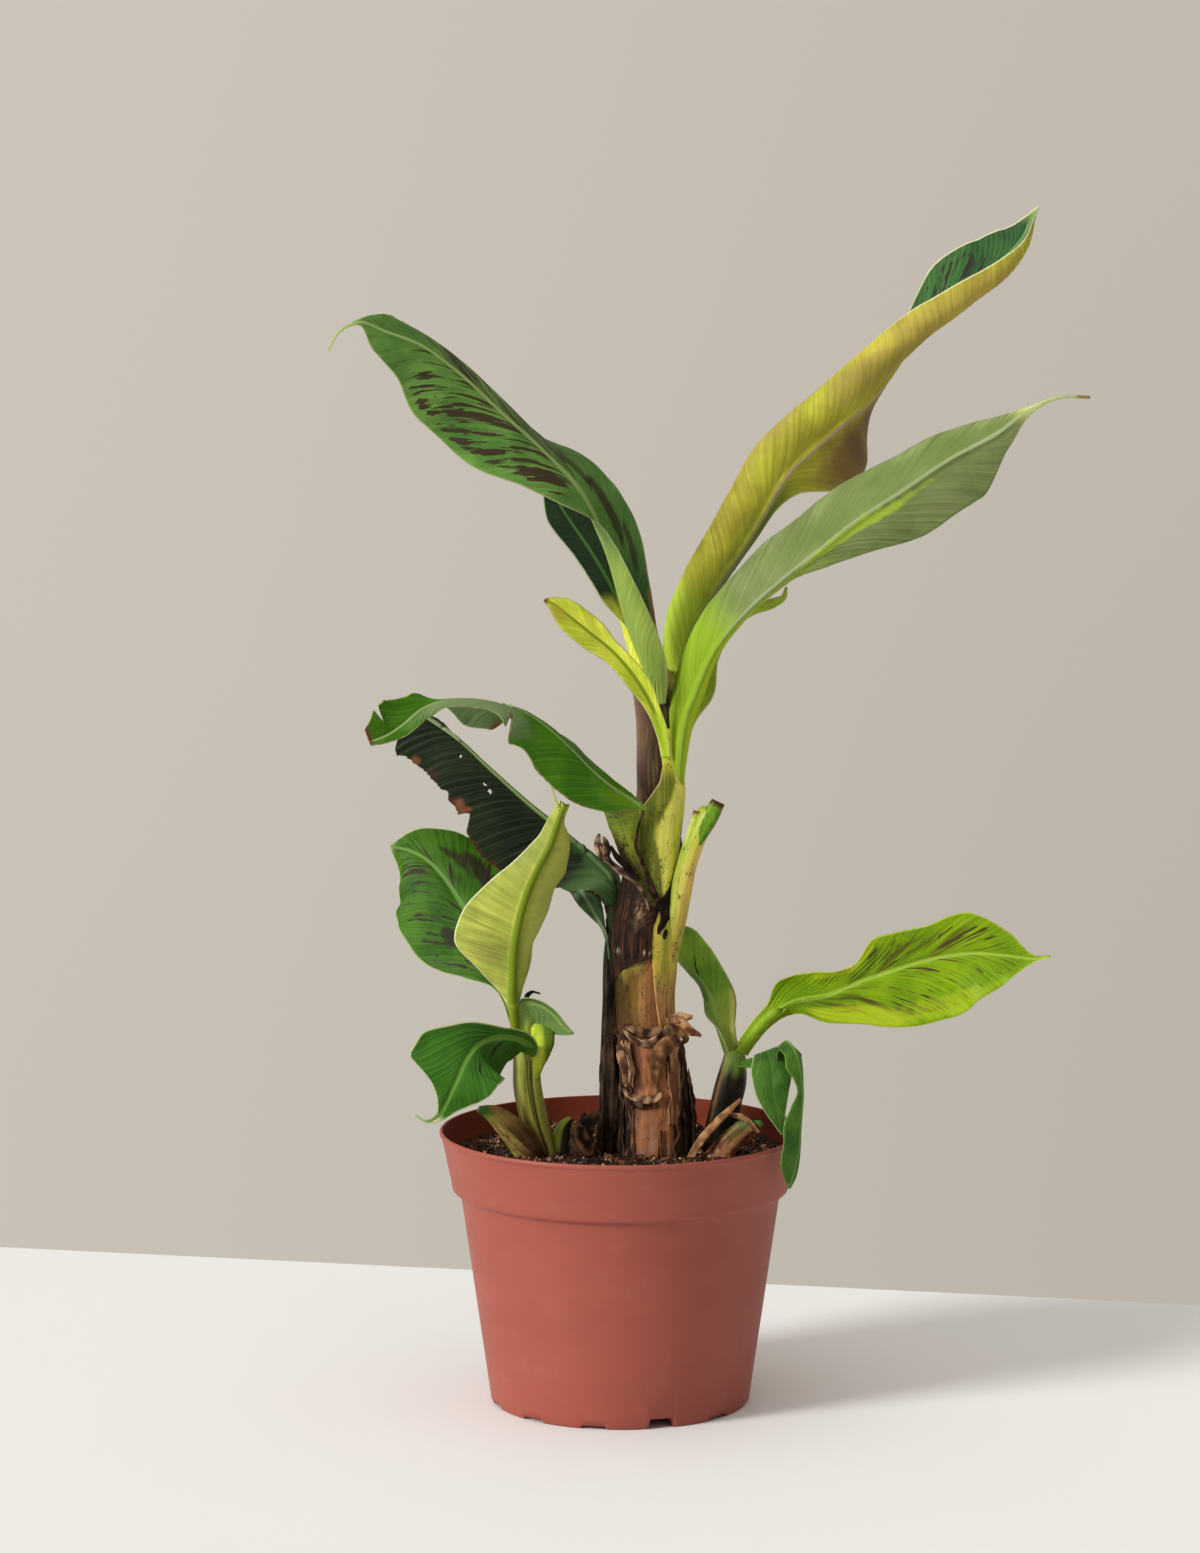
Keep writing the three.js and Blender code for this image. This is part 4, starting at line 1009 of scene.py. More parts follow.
# Bark on the soil, from coarse to fine: longest side from and to
CHIPS = {
    "bark_chips_dark": dict(count=900, size=(1.2, 5.5), light=0x3a2619, dark=0x120a06),
    "bark_chips_brown": dict(count=760, size=(1.0, 4.2), light=0x94603e, dark=0x4a2c1a),
    "bark_chips_tan": dict(count=520, size=(0.8, 3.4), light=0xd8b08a, dark=0x9c7250),
}


def build_chips():
    """Bark chips and crumbs strewn evenly over the soil, but for its very middle."""
    for number, (name, chips) in enumerate(CHIPS.items()):
        dice = random.Random(40 + number)
        mesh = bmesh.new()
        for _ in range(chips["count"]):
            radius = STREWN_RADIUS * math.sqrt(dice.uniform(0.02, 1))
            turn = dice.uniform(0, 2 * math.pi)
            x, y = radius * math.cos(turn), radius * math.sin(turn)
            longest = dice.uniform(*chips["size"]) * (1 if dice.random() < 0.85 else 1.6)
            size = Vector((longest, longest * dice.uniform(0.35, 0.8), longest * dice.uniform(0.15, 0.45)))
            tilt = Matrix.Rotation(dice.gauss(0, 0.45), 4, "X")
            tilt = tilt @ Matrix.Rotation(dice.gauss(0, 0.45), 4, "Y")
            spin = Matrix.Rotation(dice.uniform(0, math.pi), 4, "Z")
            rest = soil_height(x, y) + size.z * 0.3
            place = Matrix.Translation(Vector((x, y, rest)) * MM) @ spin @ tilt
            made = bmesh.ops.create_cube(mesh, size=1, matrix=place @ Matrix.Diagonal((*(size * MM), 1)))
            for vertex in made["verts"]:
                vertex.co += Vector([dice.gauss(0, 0.16) * longest * MM for _ in range(3)]) * 0.7
        bark = soil_material(name + "_skin", chips["light"], chips["dark"], 700)
        piece = finish_object(name, mesh, [bark])
        for polygon in piece.data.polygons:
            polygon.use_smooth = False
        attach(piece, "potting_mix")


# Trunk

TRUNK_ROWS, _ = smooth_rows(LIMBS["trunk"], SKIN_STEP)


def trunk_relief(degrees, along, z):
    """Overlapping sheaths: each has a raised edge, with fibres that run up it."""
    swell = 0.5 * ring_grain(degrees, 2.2, z / 60)
    fibres = 0.16 * ring_grain(degrees, 26, z / 26)
    lap = 0.9 * soft(degrees + 0.05 * (z - 250) + 3 * grain(z / 25, 1), -30, -33)
    lap += 0.9 * soft(degrees - 0.1 * (z - 260) + 3 * grain(z / 22, 4), 24, 27) * soft(z, 335, 300)
    ring = -0.7 * math.exp(-((z - 263 - 3 * grain(degrees / 30, 8)) / 2.2) ** 2)
    return swell + fibres + lap + ring


def trunk_paint(degrees, along, z):
    """The trunk's colours: bare strips low in front, olive to red-brown above, purple-brown at the top."""
    blot = ring_grain(degrees, 2.5, z / 14)
    fine = ring_grain(degrees, 7, z / 9)
    low = between(0x9a6240, 0x6c4029, soft(fine, -0.1, 0.5))
    low = laid(low, 0xa87a4c, soft(blot, 0.1, 0.5) * 0.6)
    low = laid(low, 0x54301e, soft(degrees + 6 * fine, -14, -24) * soft(z, 222, 228) * 0.85)
    low = laid(low, 0xb08a72, soft(z, 216, 200) * soft(fine, 0.0, 0.4) * 0.5)
    middle = between(0x6c4e1e, 0x8c5c38, soft(degrees + 10 * blot, -14, 10))
    middle = laid(middle, 0x32240e, soft(degrees + 8 * fine, -20, -48) * 0.85)
    middle = laid(middle, 0x8c8434, soft(z + 10 * blot, 298, 314) * soft(degrees, 8, -8) * 0.75)
    middle = laid(middle, 0xa87c4c, soft(abs(degrees + 6 + 10 * blot), 12, 3) * soft(z, 312, 300) * 0.55)
    middle = laid(middle, 0x5a3a22, soft(z, 290, 264) * 0.6)
    middle = laid(middle, 0x4c4018, soft(z, 316, 322))
    speck = soft(grain(degrees / 3, z / 2.2, 11), 0.36, 0.46) * soft(fine, -0.3, 0.2)
    middle = laid(middle, 0x1c120a, speck * soft(z, 268, 280) * 0.9)
    middle = laid(middle, 0x2a1d10, soft(fine + blot, 0.42, 0.62) * soft(degrees, 0, -20) * 0.8)
    top = between(0x5c4234, 0x96883c, soft(degrees + 12 * blot, 5, 35))
    top = laid(top, 0x30241a, soft(blot, 0.15, 0.5) * 0.6)
    tone = mixed(low, middle, soft(z + 3 * blot, 256, 268))
    tone = mixed(tone, top, soft(z, 385, 425))
    husk = soft(z, 262, 246) * max(soft(degrees, -26, -36), soft(degrees, 24, 34))
    tone = mixed(tone, between(0x2c1b14, 0x6b4630, soft(fine, 0.0, 0.5)), husk)
    tone = laid(tone, 0x2c1b12, soft(z, 186, 172) * 0.7)
    back = soft(abs(degrees), 95, 130) * soft(z, 400, 300)
    return mixed(tone, between(0x4a3122, 0x7a5a3a, soft(fine, -0.1, 0.5)), back * 0.75)


def build_trunk():
    """The trunk's skin, from the soil to the fork."""
    skin = skin_material("trunk_sheaths", 520, 0.5, dark=0x1d120a, stain=0.35, spots=0.6)
    attach(wrapped_skin("trunk_skin", TRUNK_ROWS, trunk_paint, trunk_relief, skin), "trunk_skin", "trunk")


def trunk_point(degrees, z, lift):
    """A point lifted off the trunk's surface."""
    x, y, _, radius = row_at(TRUNK_ROWS, 2, z)
    turn = math.radians(degrees)
    return Vector((x, y, z)) + Vector((math.sin(turn), -math.cos(turn), 0)) * (radius + lift)


def wrap_patch(name, material, rows, tone, seed, slot="dry_husk", ragged=0.0, curl=0.0, fray=0.0,
               rough=0.5, thick=0.5, swell=0.0, hides=()):
    """A sheath or husk that lies on the trunk. A row is a height, the left and right edge in degrees
    round the trunk (0 is the front, 90 the right) and how far it stands off the trunk."""
    widest = max(right - left for _, left, right, _ in rows)
    across = max(6, round(widest * 0.36 / PATCH_STEP))
    up = max(6, round((rows[-1][0] - rows[0][0]) / 1.3))
    mesh = bmesh.new()
    bmesh.ops.create_grid(mesh, x_segments=across, y_segments=up, size=1)
    skin_uv = mesh.loops.layers.uv.new("blade")
    tint = mesh.verts.layers.float_color.new("tint")
    spots = {}
    for vertex in mesh.verts:
        u, v = (vertex.co.x + 1) / 2, (vertex.co.y + 1) / 2
        torn = ragged * (grain(u * 7, seed) + 0.6 * grain(u * 19, seed + 3))
        z = rows[0][0] + (rows[-1][0] + torn - rows[0][0]) * v
        _, left, right, lift = row_at(rows, 0, z)
        degrees = left + (right - left) * u + fray * grain(z / 9, seed + 8 + round(u)) * abs(2 * u - 1)
        rim = max(soft(v, 0.72, 1.0), soft(abs(2 * u - 1), 0.7, 1.0))
        off = lift + curl * rim * (0.3 + abs(grain(u * 5, v * 5, seed)))
        off += rough * (grain(u * 9, z / 9, seed) + 0.5 * grain(u * 26, z / 22, seed + 1))
        off += swell * math.sin(math.pi * u) * (right - left) / widest
        vertex.co = trunk_point(degrees, z, max(0.2, off)) * MM
        vertex[tint] = (*tone(u, v, degrees, z, seed)[:3], 1)
        spots[vertex] = (math.radians(degrees) * PATCH_RADIUS * MM, z * MM)
    write_uv(mesh, skin_uv, spots)
    made = finish_object(name, mesh, [material])
    give_walls(made, thick, by_group=False)
    made.modifiers["thickness"].offset = 0
    attach(made, slot, *hides)


def husk_tone(light, dark):
    """Dry husk in vertical streaks, lighter where an edge curls off."""
    def tone(u, v, degrees, z, seed):
        edge = max(soft(v, 0.8, 1.0), soft(abs(2 * u - 1), 0.85, 1.0))
        streak = grain(degrees / 5, z / 30, seed + 4) + 0.6 * grain(degrees / 2.2, z / 14, seed + 5)
        share = soft(streak + 0.5 * edge, -0.1, 0.65)
        return between(dark, light, share)
    return tone


def black_sheath_tone(u, v, degrees, z, seed):
    """The near-black dry sheath, with a paler glint in its middle that is a painted highlight."""
    streak = grain(degrees / 3, z / 26, seed)
    tone = between(0x140b06, 0x4c2e1a, soft(streak, -0.15, 0.55))
    # Painted highlight: the paler glint in the sheath's middle
    painted_glint = math.exp(-((degrees + 16) / 9) ** 2 - ((z - 349) / 9) ** 2)
    tone = laid(tone, 0x94745a, painted_glint * soft(grain(degrees / 2, z / 5, seed), -0.3, 0.4) * 0.9)
    return laid(tone, 0xb09c88, math.exp(-((z - 322) / 1.6) ** 2) * soft(grain(degrees / 2, 3), 0.15, 0.4))


def lens_tone(u, v, degrees, z, seed):
    """The young sheath in front: olive on its left, bright yellow-green on the rest, with a pale stripe down
    it as a painted highlight.
    """
    streak = grain(degrees / 4, z / 40, seed)
    tone = between(0xd6d448, 0xbcc838, soft(streak, -0.2, 0.4))
    # Painted highlight: a pale stripe down the sheath
    tone = laid(tone, 0xf0e47c, math.exp(-((u - 0.62) / 0.16) ** 2) * 0.6)
    olive = soft(u, 0.5, 0.4) * soft(z, 460, 440)
    tone = mixed(tone, between(0x5c6420, 0x7c802a, soft(streak, -0.2, 0.4)), olive)
    tone = laid(tone, 0x9a6c34, soft(u, 0.9, 1.0) * soft(z, 366, 380) * soft(z, 425, 400))
    tone = laid(tone, 0xe0c890, soft(abs(2 * u - 1), 0.93, 1.0) * soft(z, 400, 415) * soft(z, 452, 440))
    spots = soft(grain(degrees / 2.4, z / 1.7, seed + 2), 0.42, 0.5) * soft(z, 400, 380)
    return laid(tone, 0x33240f, spots * 0.9)


def stalk_strip_tone(u, v, degrees, z, seed):
    """The cut stalk's sheath: yellow-green above, tan and brown below."""
    streak = grain(degrees / 4, z / 50, seed) + 0.4 * grain(degrees / 2, z / 20, seed + 2)
    tone = between(0x93603c, 0xbc9458, soft(streak, -0.3, 0.3))
    tone = laid(tone, 0xc2b244, soft(z + 8 * streak, 288, 320))
    tone = laid(tone, 0xdccc50, soft(z, 325, 350) * soft(streak, -0.4, 0.4))
    tone = laid(tone, 0x7c8a2a, soft(abs(u - 0.26 + 0.03 * streak), 0.1, 0.02) * soft(z, 290, 310) * 0.6)
    tone = laid(tone, 0x8f4f38, soft(u, 0.86, 1.0) * 0.45)
    return laid(tone, 0x3a1e14, soft(grain(degrees / 3, z / 3, seed + 6), 0.5, 0.6) * 0.8)


def arching_stalk_tone(at):
    """The arching leaf's stalk: yellow-green to olive with many small black dots."""
    streak = grain((at.x + 0.35 * at.z) / 2.2, at.z / 40)
    tone = between(0x868a2c, 0x66702a, soft(streak, -0.3, 0.4))
    tone = laid(tone, 0x5c7c26, soft(at.z, 398, 416) * 0.5)
    tone = laid(tone, 0x8fa032, soft(at.x, 2, 9) * soft(at.z, 390, 400) * 0.6)
    tone = laid(tone, 0x2a1e0e, soft(at.z + 1.3 * (at.x - 6) + 7 * streak, 402, 382) * 0.85)
    dots = soft(grain(at.x / 1.3, at.z / 1.4, 3), 0.3, 0.42) * soft(at.z, 418, 396)
    return laid(tone, 0x1e160c, dots * 0.9)


def crease_shade_and_knot_tone(u, v, degrees, z, seed):
    """Near-black: painted shade in the creases between the sheaths, and the dark knot and the scar beside
    it.
    """
    return between(0x150e0a, 0x3c261a, soft(grain(degrees / 4, z / 5, seed), 0.1, 0.5))


def violet_tone(u, v, degrees, z, seed):
    """The purple-brown sheath on the upper trunk's left, with olive streaks."""
    tone = between(0x7a5a4c, 0x35271c, soft(u, 0.1, 0.75))
    return laid(tone, 0x6c5a34, soft(grain(degrees / 6, z / 20, seed), 0.0, 0.5) * 0.6)


# Sheaths, husks and creases that lie on the trunk, with rows as wrap_patch takes them
PATCHES = [
    dict(name="husk_left_low", tone=husk_tone(0x5a3c2a, 0x1c120d), seed=1, ragged=6, curl=1.6, fray=5,
         rough=0.9, rows=[(172, -112, -30, 0.8), (205, -108, -34, 1.2), (262, -104, -46, 1.0)]),
    dict(name="husk_left_outer", tone=husk_tone(0x6a4a36, 0x1a110c), seed=2, ragged=7, curl=2.4, fray=7,
         rough=1.1, rows=[(172, -86, -44, 2.2), (196, -82, -50, 2.4), (226, -78, -58, 1.6)]),
    dict(name="husk_left_flap", tone=husk_tone(0xa87a56, 0x3e281c), seed=3, ragged=4, curl=2.6, fray=6,
         rough=0.8, rows=[(226, -52, -34, 1.2), (240, -58, -30, 1.8), (258, -54, -36, 1.6)]),
    dict(name="husk_left_edge", tone=husk_tone(0x8a6246, 0x24170f), seed=4, ragged=6, curl=1.6, fray=6,
         rough=0.8, rows=[(176, -46, -30, 1.6), (200, -44, -34, 1.2), (222, -44, -36, 0.8)]),
    dict(name="husk_right_band", tone=husk_tone(0xb98e66, 0x7a4f38), seed=7, ragged=5, curl=1.6, fray=4,
         rough=0.6,
         rows=[(200, 20, 36, 0.8), (222, 24, 44, 1.6), (246, 26, 52, 2.4), (258, 28, 60, 2.0)]),
    dict(name="husk_right_low", tone=husk_tone(0x58392a, 0x170f0b), seed=8, ragged=8, curl=1.8, fray=6,
         rough=1.0, rows=[(172, 26, 112, 0.8), (200, 34, 110, 1.4), (252, 50, 108, 1.2)]),
    dict(name="husk_right_outer", tone=husk_tone(0x7a5640, 0x1e130e), seed=9, ragged=9, curl=2.6, fray=8,
         rough=1.2, rows=[(172, 62, 92, 2.4), (205, 66, 94, 2.8), (232, 72, 90, 1.6)]),
    dict(name="husk_back", tone=husk_tone(0x6a4a34, 0x20150f), seed=10, ragged=9, curl=1.8, fray=6,
         rough=1.0, rows=[(172, 104, 256, 0.9), (220, 106, 252, 1.2), (266, 112, 244, 1.0)]),
    dict(name="husk_foot_right", tone=husk_tone(0x8a5a3e, 0x3c241a), seed=11, ragged=7, curl=2.0, fray=5,
         rough=0.7, rows=[(172, 2, 14, 0.9), (186, 4, 12, 1.0), (198, 5, 9, 0.8)]),
    dict(name="black_sheath", hides=("dry_sheath",), tone=black_sheath_tone, seed=12, ragged=0, curl=0.5,
         fray=2, rough=0.35, thick=0.9,
         rows=[(300, -105, -72, 0.6), (309, -105, -44, 1.3), (314, -105, -18, 1.6), (318, -104, 9, 1.7),
               (340, -104, 10, 1.8), (353, -104, 20, 1.8), (360, -104, 12, 1.9), (374, -106, -14, 2.0),
               (392, -112, -52, 1.6)]),
    dict(name="stalk_strip", slot="green_stem", tone=stalk_strip_tone, seed=13, rough=0.15, thick=0.9,
         swell=0.8,
         rows=[(262, 28, 104, 0.5), (280, 24, 104, 0.9), (296, 19, 104, 1.0), (311, 14, 104, 1.1),
               (324, 10, 104, 1.2), (346, 7, 104, 1.3), (354, 14, 104, 1.3), (362, 36, 106, 1.3),
               (376, 66, 110, 0.9)]),
    dict(name="front_sheath_lens", slot="fresh_sheath", hides=("front_sheath",), tone=lens_tone, seed=15,
         rough=0.2, thick=0.9, swell=1.6,
         rows=[(355, 25, 28, 1.4), (364, 12, 35, 1.8), (373, -1, 40, 2.2), (387, -29, 58, 2.4),
               (401, -56, 68, 2.6), (409, -64, 76, 2.8), (419, -48, 84, 3.2), (430, -22, 86, 3.4),
               (441, 0, 78, 3.0), (452, 7, 62, 2.6), (464, 2, 42, 2.4), (478, -12, 20, 2.6)]),
    # The two creases are near-black sheets along the front sheath's edges, as painted shade in the gaps
    dict(name="crease_left", slot="dark_stem", tone=crease_shade_and_knot_tone, seed=16, rough=0.3, fray=3, thick=0.6,
         rows=[(354, 16, 30, 2.6), (366, -2, 7, 3.0), (384, -36, -28, 2.8), (400, -66, -56, 2.6),
               (414, -70, -58, 2.6)]),
    dict(name="crease_right", slot="dark_stem", tone=crease_shade_and_knot_tone, seed=17, rough=0.4, fray=3, thick=0.6,
         curl=0.6,
         rows=[(352, 26, 44, 2.2), (362, 38, 50, 2.4), (378, 52, 64, 2.6), (392, 64, 78, 2.4),
               (400, 76, 84, 1.6)]),
    dict(name="crease_knot", slot="dark_stem", tone=crease_shade_and_knot_tone, seed=18, ragged=2, rough=0.8, fray=6,
         thick=0.8,
         rows=[(335, 18, 22, 1.9), (340, 18, 30, 2.4), (345, 20, 38, 2.8), (352, 19, 44, 3.2),
               (358, 17, 44, 3.4), (363, 26, 46, 3.2), (369, 38, 50, 2.8)]),
    dict(name="scar_by_knot", slot="dark_stem", tone=crease_shade_and_knot_tone, seed=20, ragged=1, rough=0.4, fray=3,
         thick=0.4, rows=[(331, 30, 34, 2.2), (334, 26, 38, 2.3), (338, 29, 35, 2.3)]),
    dict(name="violet_sheath", slot="trunk_skin", tone=violet_tone, seed=19, rough=0.3, thick=0.7,
         swell=0.5,
         rows=[(404, -100, -50, 0.6), (430, -100, 0, 0.8), (470, -100, 30, 0.9), (488, -98, 26, 1.2),
               (503, -98, 24, 1.2), (514, -96, 12, 1.0)]),
]

# Loose papery strips: points on the middle line, each with a half width, and how far they lie round
STRIPS = [
    dict(name="strip_collar_front", turn=35, light=0xb08a66, dark=0x3a251a,
         points=[(1, -19, 226, 1.2), (6, -25, 222, 2.2), (14, -28, 220, 2.8), (22, -28, 219, 3.0),
                 (29, -27, 223, 1.6)]),
    dict(name="strip_collar_front_lower", turn=-20, light=0x6a4a36, dark=0x20150f,
         points=[(5, -24, 217, 1.2), (13, -27, 214, 2.4), (22, -27, 215, 1.4)]),
    dict(name="strip_collar_top", turn=-40, light=0xc09a76, dark=0x4a3020,
         points=[(-1, -14, 268, 1.4), (6, -22, 263, 2.6), (15, -25, 258, 3.4), (24, -25, 260, 3.4),
                 (32, -23, 267, 3.0), (37, -20, 272, 2)]),
    dict(name="strip_collar_top_inner", turn=25, light=0x8a6446, dark=0x2c1c13,
         points=[(2, -19, 270, 1.6), (10, -22, 268, 3.0), (20, -23, 265, 3.6), (30, -21, 269, 3.0)]),
    dict(name="strip_husk_edge_left", turn=20, light=0xb08460, dark=0x5a3c2a,
         points=[(-1, -16, 256, 2.2), (1, -19, 247, 3.4), (3, -21, 238, 2.6), (3, -22, 229, 1.4)]),
    dict(name="strip_glint_left", turn=60, light=0xe0c4a4, dark=0xa07c5c,
         points=[(5, -22, 250, 0.9), (7, -24, 240, 1.4), (6, -25, 230, 1.0)]),
    dict(name="strip_flap_right", turn=-25, light=0xa87c52, dark=0x5c3a26,
         points=[(33, -24, 276, 3.5), (41, -28, 273, 5), (48, -31, 268, 4), (56, -32, 265, 1.2)]),
    dict(name="strip_flap_upper", turn=30, light=0xb48a60, dark=0x4a2e1e,
         points=[(32, -22, 273, 2.5), (40, -27, 277, 4), (50, -30, 278, 1.5)]),
    dict(name="strip_loop", turn=50, light=0x94683f, dark=0x3c2618,
         points=[(33, -24, 272, 2), (41, -30, 268, 3), (46, -31, 262, 3.2), (40, -30, 257, 2)]),
    dict(name="strip_hanging_husk", turn=10, light=0x9c7048, dark=0x5a3a24,
         points=[(40, -26, 262, 4), (31, -28, 256, 6.5), (25, -27, 246, 4.5), (24, -26, 234, 3),
                 (25, -26, 222, 1.5)]),
    dict(name="strip_dark_strand", turn=20, light=0x4a2e1e, dark=0x1c110b,
         points=[(33, -22, 250, 1.2), (34, -22, 225, 1.6), (36, -22, 203, 1.4), (38, -23, 178, 1.8)]),
    dict(name="strip_dark_strand_outer", turn=-30, light=0x3c2618, dark=0x150c08,
         points=[(42, -19, 252, 1), (44, -20, 236, 0.8), (42, -21, 222, 0.7), (45, -19, 200, 1.2)]),
    dict(name="strip_leaning_right", turn=20, light=0xb18658, dark=0x7a5434,
         points=[(46, -24, 172, 2.6), (55, -27, 189, 3.2), (69, -27, 205, 2.8), (84, -25, 219, 1.4)]),
    dict(name="strip_curl_right", turn=-35, light=0xb4885e, dark=0x6a4630,
         points=[(75, -26, 208, 2), (85, -29, 206, 3.2), (97, -31, 196, 1.2)]),
    dict(name="strip_clump_left", turn=15, light=0x5a3c2a, dark=0x150c08,
         points=[(-32, -20, 173, 5), (-28, -22, 190, 8), (-21, -20, 203, 5), (-14, -18, 209, 1.5)]),
    dict(name="strip_clump_left_front", turn=-20, light=0x7a5238, dark=0x1a0f0a,
         points=[(-18, -26, 173, 4), (-24, -29, 188, 6), (-32, -28, 203, 2.5)]),
    dict(name="strip_shard_by_shoot", turn=40, light=0x4c5c34, dark=0x1c2416,
         points=[(-66, -12, 282, 1.2), (-65, -12, 290, 1.8), (-61, -12, 293, 1.2), (-56, -12, 291, 0.5)]),
    dict(name="strip_side_husk_low", turn=12, light=0x4a3626, dark=0x140d08, run=28,
         points=[(-12, -8, 172, 6), (-9, -9, 196, 7), (-7, -8, 222, 6), (-8, -6, 248, 4),
                 (-7, -5, 262, 1.5)]),
    dict(name="strip_side_husk_high", turn=-15, light=0x3c3020, dark=0x0f0a06, run=28,
         points=[(-4, -5, 232, 3), (-6, -4, 256, 5), (-6, -3, 284, 5.5), (-5, -3, 312, 4.5),
                 (-6, -2, 334, 2)]),
    dict(name="strip_side_husk_edge", turn=30, light=0x6a5440, dark=0x1c130c, run=20,
         points=[(-12, -4, 200, 1.5), (-13, -3, 226, 2.6), (-12, -2, 250, 2.0), (-10, -2, 280, 1.0)]),
    dict(name="strip_stub_shard_left", turn=25, light=0xb08c74, dark=0x3a261c,
         points=[(-12, -33, 388, 2.2), (-14, -34, 394, 3.6), (-16, -34, 400, 3.0), (-15, -33, 407, 0.9)]),
    dict(name="strip_stub_shard_right", turn=-30, light=0x9a7660, dark=0x2c1c14,
         points=[(-10, -35, 389, 2.0), (-9.5, -35, 395, 3.4), (-10, -34, 400, 2.8),
                 (-12, -33, 405, 0.9)]),
    dict(name="strip_stalk_seam", turn=10, light=0x4a2c1c, dark=0x150c08,
         points=[(16, -33, 423, 0.6), (11.5, -32, 408, 0.9), (10.5, -31.5, 399, 1.1),
                 (15, -28.5, 386, 1.2), (20.5, -26.5, 372, 1.8), (26, -24.5, 358, 2.2)]),
    dict(name="strip_black_shards", turn=20, light=0x2c1c14, dark=0x0e0906,
         points=[(-7, -30, 398, 0.8), (-3, -31, 391, 2.0), (3, -30, 385, 2.6), (9, -28, 378, 1.6)]),
    # Its pale tan is partly the strip's own colour and partly a painted highlight along the black sheath's
    # edge
    dict(name="strip_over_stub", turn=30, light=0xa0806a, dark=0x3a261c,
         points=[(-9, -34, 388, 1.0), (-1, -33, 380, 1.2), (8, -30, 374, 1.2), (16, -27, 364, 1.0),
                 (20, -25, 352, 0.7)]),
]


def strip_tone(light, dark, seed, run):
    """A dry strip's mottled colour, drawn out upwards by the run."""
    def tone(at):
        if run <= 6:
            mottle = grain(at.x * 1.2 / run, at.z / run, seed)
        else:
            mottle = grain(at.x / 2.4, at.z / run, seed)
        return between(dark, light, soft(mottle, -0.25, 0.45))
    return tone


def build_husks():
    """The sheaths and husks on the trunk, and the loose strips on trunk and shoots."""
    dry = skin_material("dry_husk", 700, 0.72, dark=0x140c08, stain=0.35, relief=0.0008)
    green = skin_material("green_sheath", 800, 0.42, dark=0x2a1c0e, stain=0.2, relief=0.0003, spots=0.7)
    for patch in PATCHES:
        live = patch.get("slot") in ("green_stem", "fresh_sheath", "trunk_skin")
        wrap_patch(material=green if live else dry, **patch)
    for number, strip in enumerate(STRIPS):
        stations = []
        for x, y, z, half in strip["points"]:
            stations.append((x, y, z, half, 180 + strip["turn"], 200 + strip["turn"],
                             half, strip["turn"], strip["turn"] - 20))
        made = blade(strip["name"], stations, [dry], ruffle=2.2, ruffle_length=9, pleat=0.0, groove=0.0,
                     crumple=0.9, ragged=1.0, rib=0.0, blade=0.45, seed=number * 3.7)
        paint_by_place(made, strip_tone(strip["light"], strip["dark"], number, strip.get("run", 6)))
        attach(made, "dry_husk")


# Other stems

def plain_relief(amount, seed):
    """Soft swellings with fibres over them."""
    def relief(degrees, along, z):
        fibres = ring_grain(degrees, 12, z / 20 + seed)
        return amount * (ring_grain(degrees, 2, z / 22 + seed) + 0.3 * fibres)
    return relief


def side_stem_paint(degrees, along, z):
    """Near-black fibres, with a paler line up its right that is a painted highlight."""
    blot = ring_grain(degrees, 2, z / 30)
    tone = between(0x140e08, 0x36281a, soft(blot + 0.5 * grain(degrees / 4, z / 30), -0.2, 0.5))
    # Painted highlight: a paler line up the stem's right
    tone = laid(tone, 0x6a7450, soft(abs(degrees - 30 + 0.25 * (z - 320)), 6, 2) * soft(z, 275, 300) * 0.5)
    return laid(tone, 0x283418, soft(z + 12 * blot, 300, 335) * 0.7)


def left_stem_paint(degrees, along, z):
    """Yellow-green, brown towards the soil, and darker brown along its creases as painted shade."""
    blot = ring_grain(degrees, 2, z / 18)
    streak = grain(degrees / 7, z / 45) + 0.6 * grain(degrees / 3, z / 25, 4)
    tone = between(0x949c40, 0x9a9440, soft(z, 240, 200))
    tone = laid(tone, 0x4c3a20, soft(streak, -0.1, 0.5) * soft(degrees, 26, 12) * 0.85)
    tone = laid(tone, 0x5a3a24, soft(z + 9 * blot, 208, 176) * 0.85)
    tone = laid(tone, 0x3c2c1e, soft(degrees + 8 * blot, -30, -56) * 0.8)
    # Painted shade: darker brown along the crease, near-black in its seam
    crease = math.exp(-((degrees - 18 - 0.12 * (z - 200)) / 5) ** 2)
    tone = laid(tone, 0x3c2a18, crease * soft(z, 250, 236) * 0.85)
    seam = math.exp(-((degrees - 18 - 0.12 * (z - 200)) / 2.4) ** 2)
    tone = laid(tone, 0x2a1c12, seam * soft(z, 250, 236))
    return laid(tone, 0xa8b050, soft(degrees, 22, 34) * soft(degrees, 60, 44) * 0.6)


def left_stem_relief(degrees, along, z):
    """Soft ridges and creases between the sheaths."""
    crease = math.exp(-((degrees - 18 - 0.12 * (z - 200)) / 7) ** 2)
    return plain_relief(0.35, 2)(degrees, along, z) - 1.6 * crease * soft(z, 250, 236)


def right_stem_paint(degrees, along, z):
    """Dark below, green above, with a tan edge on its left."""
    blot = ring_grain(degrees, 2, z / 24)
    tone = between(0x100d08, 0x2e2714, soft(blot + (z - 215) / 80, 0.0, 0.6))
    tone = laid(tone, 0x6f8c38, soft(z + 8 * blot, 230, 244) * 0.9)
    return laid(tone, 0xa87f52, math.exp(-((degrees + 52) / 9) ** 2) * soft(z, 175, 200) * 0.8)


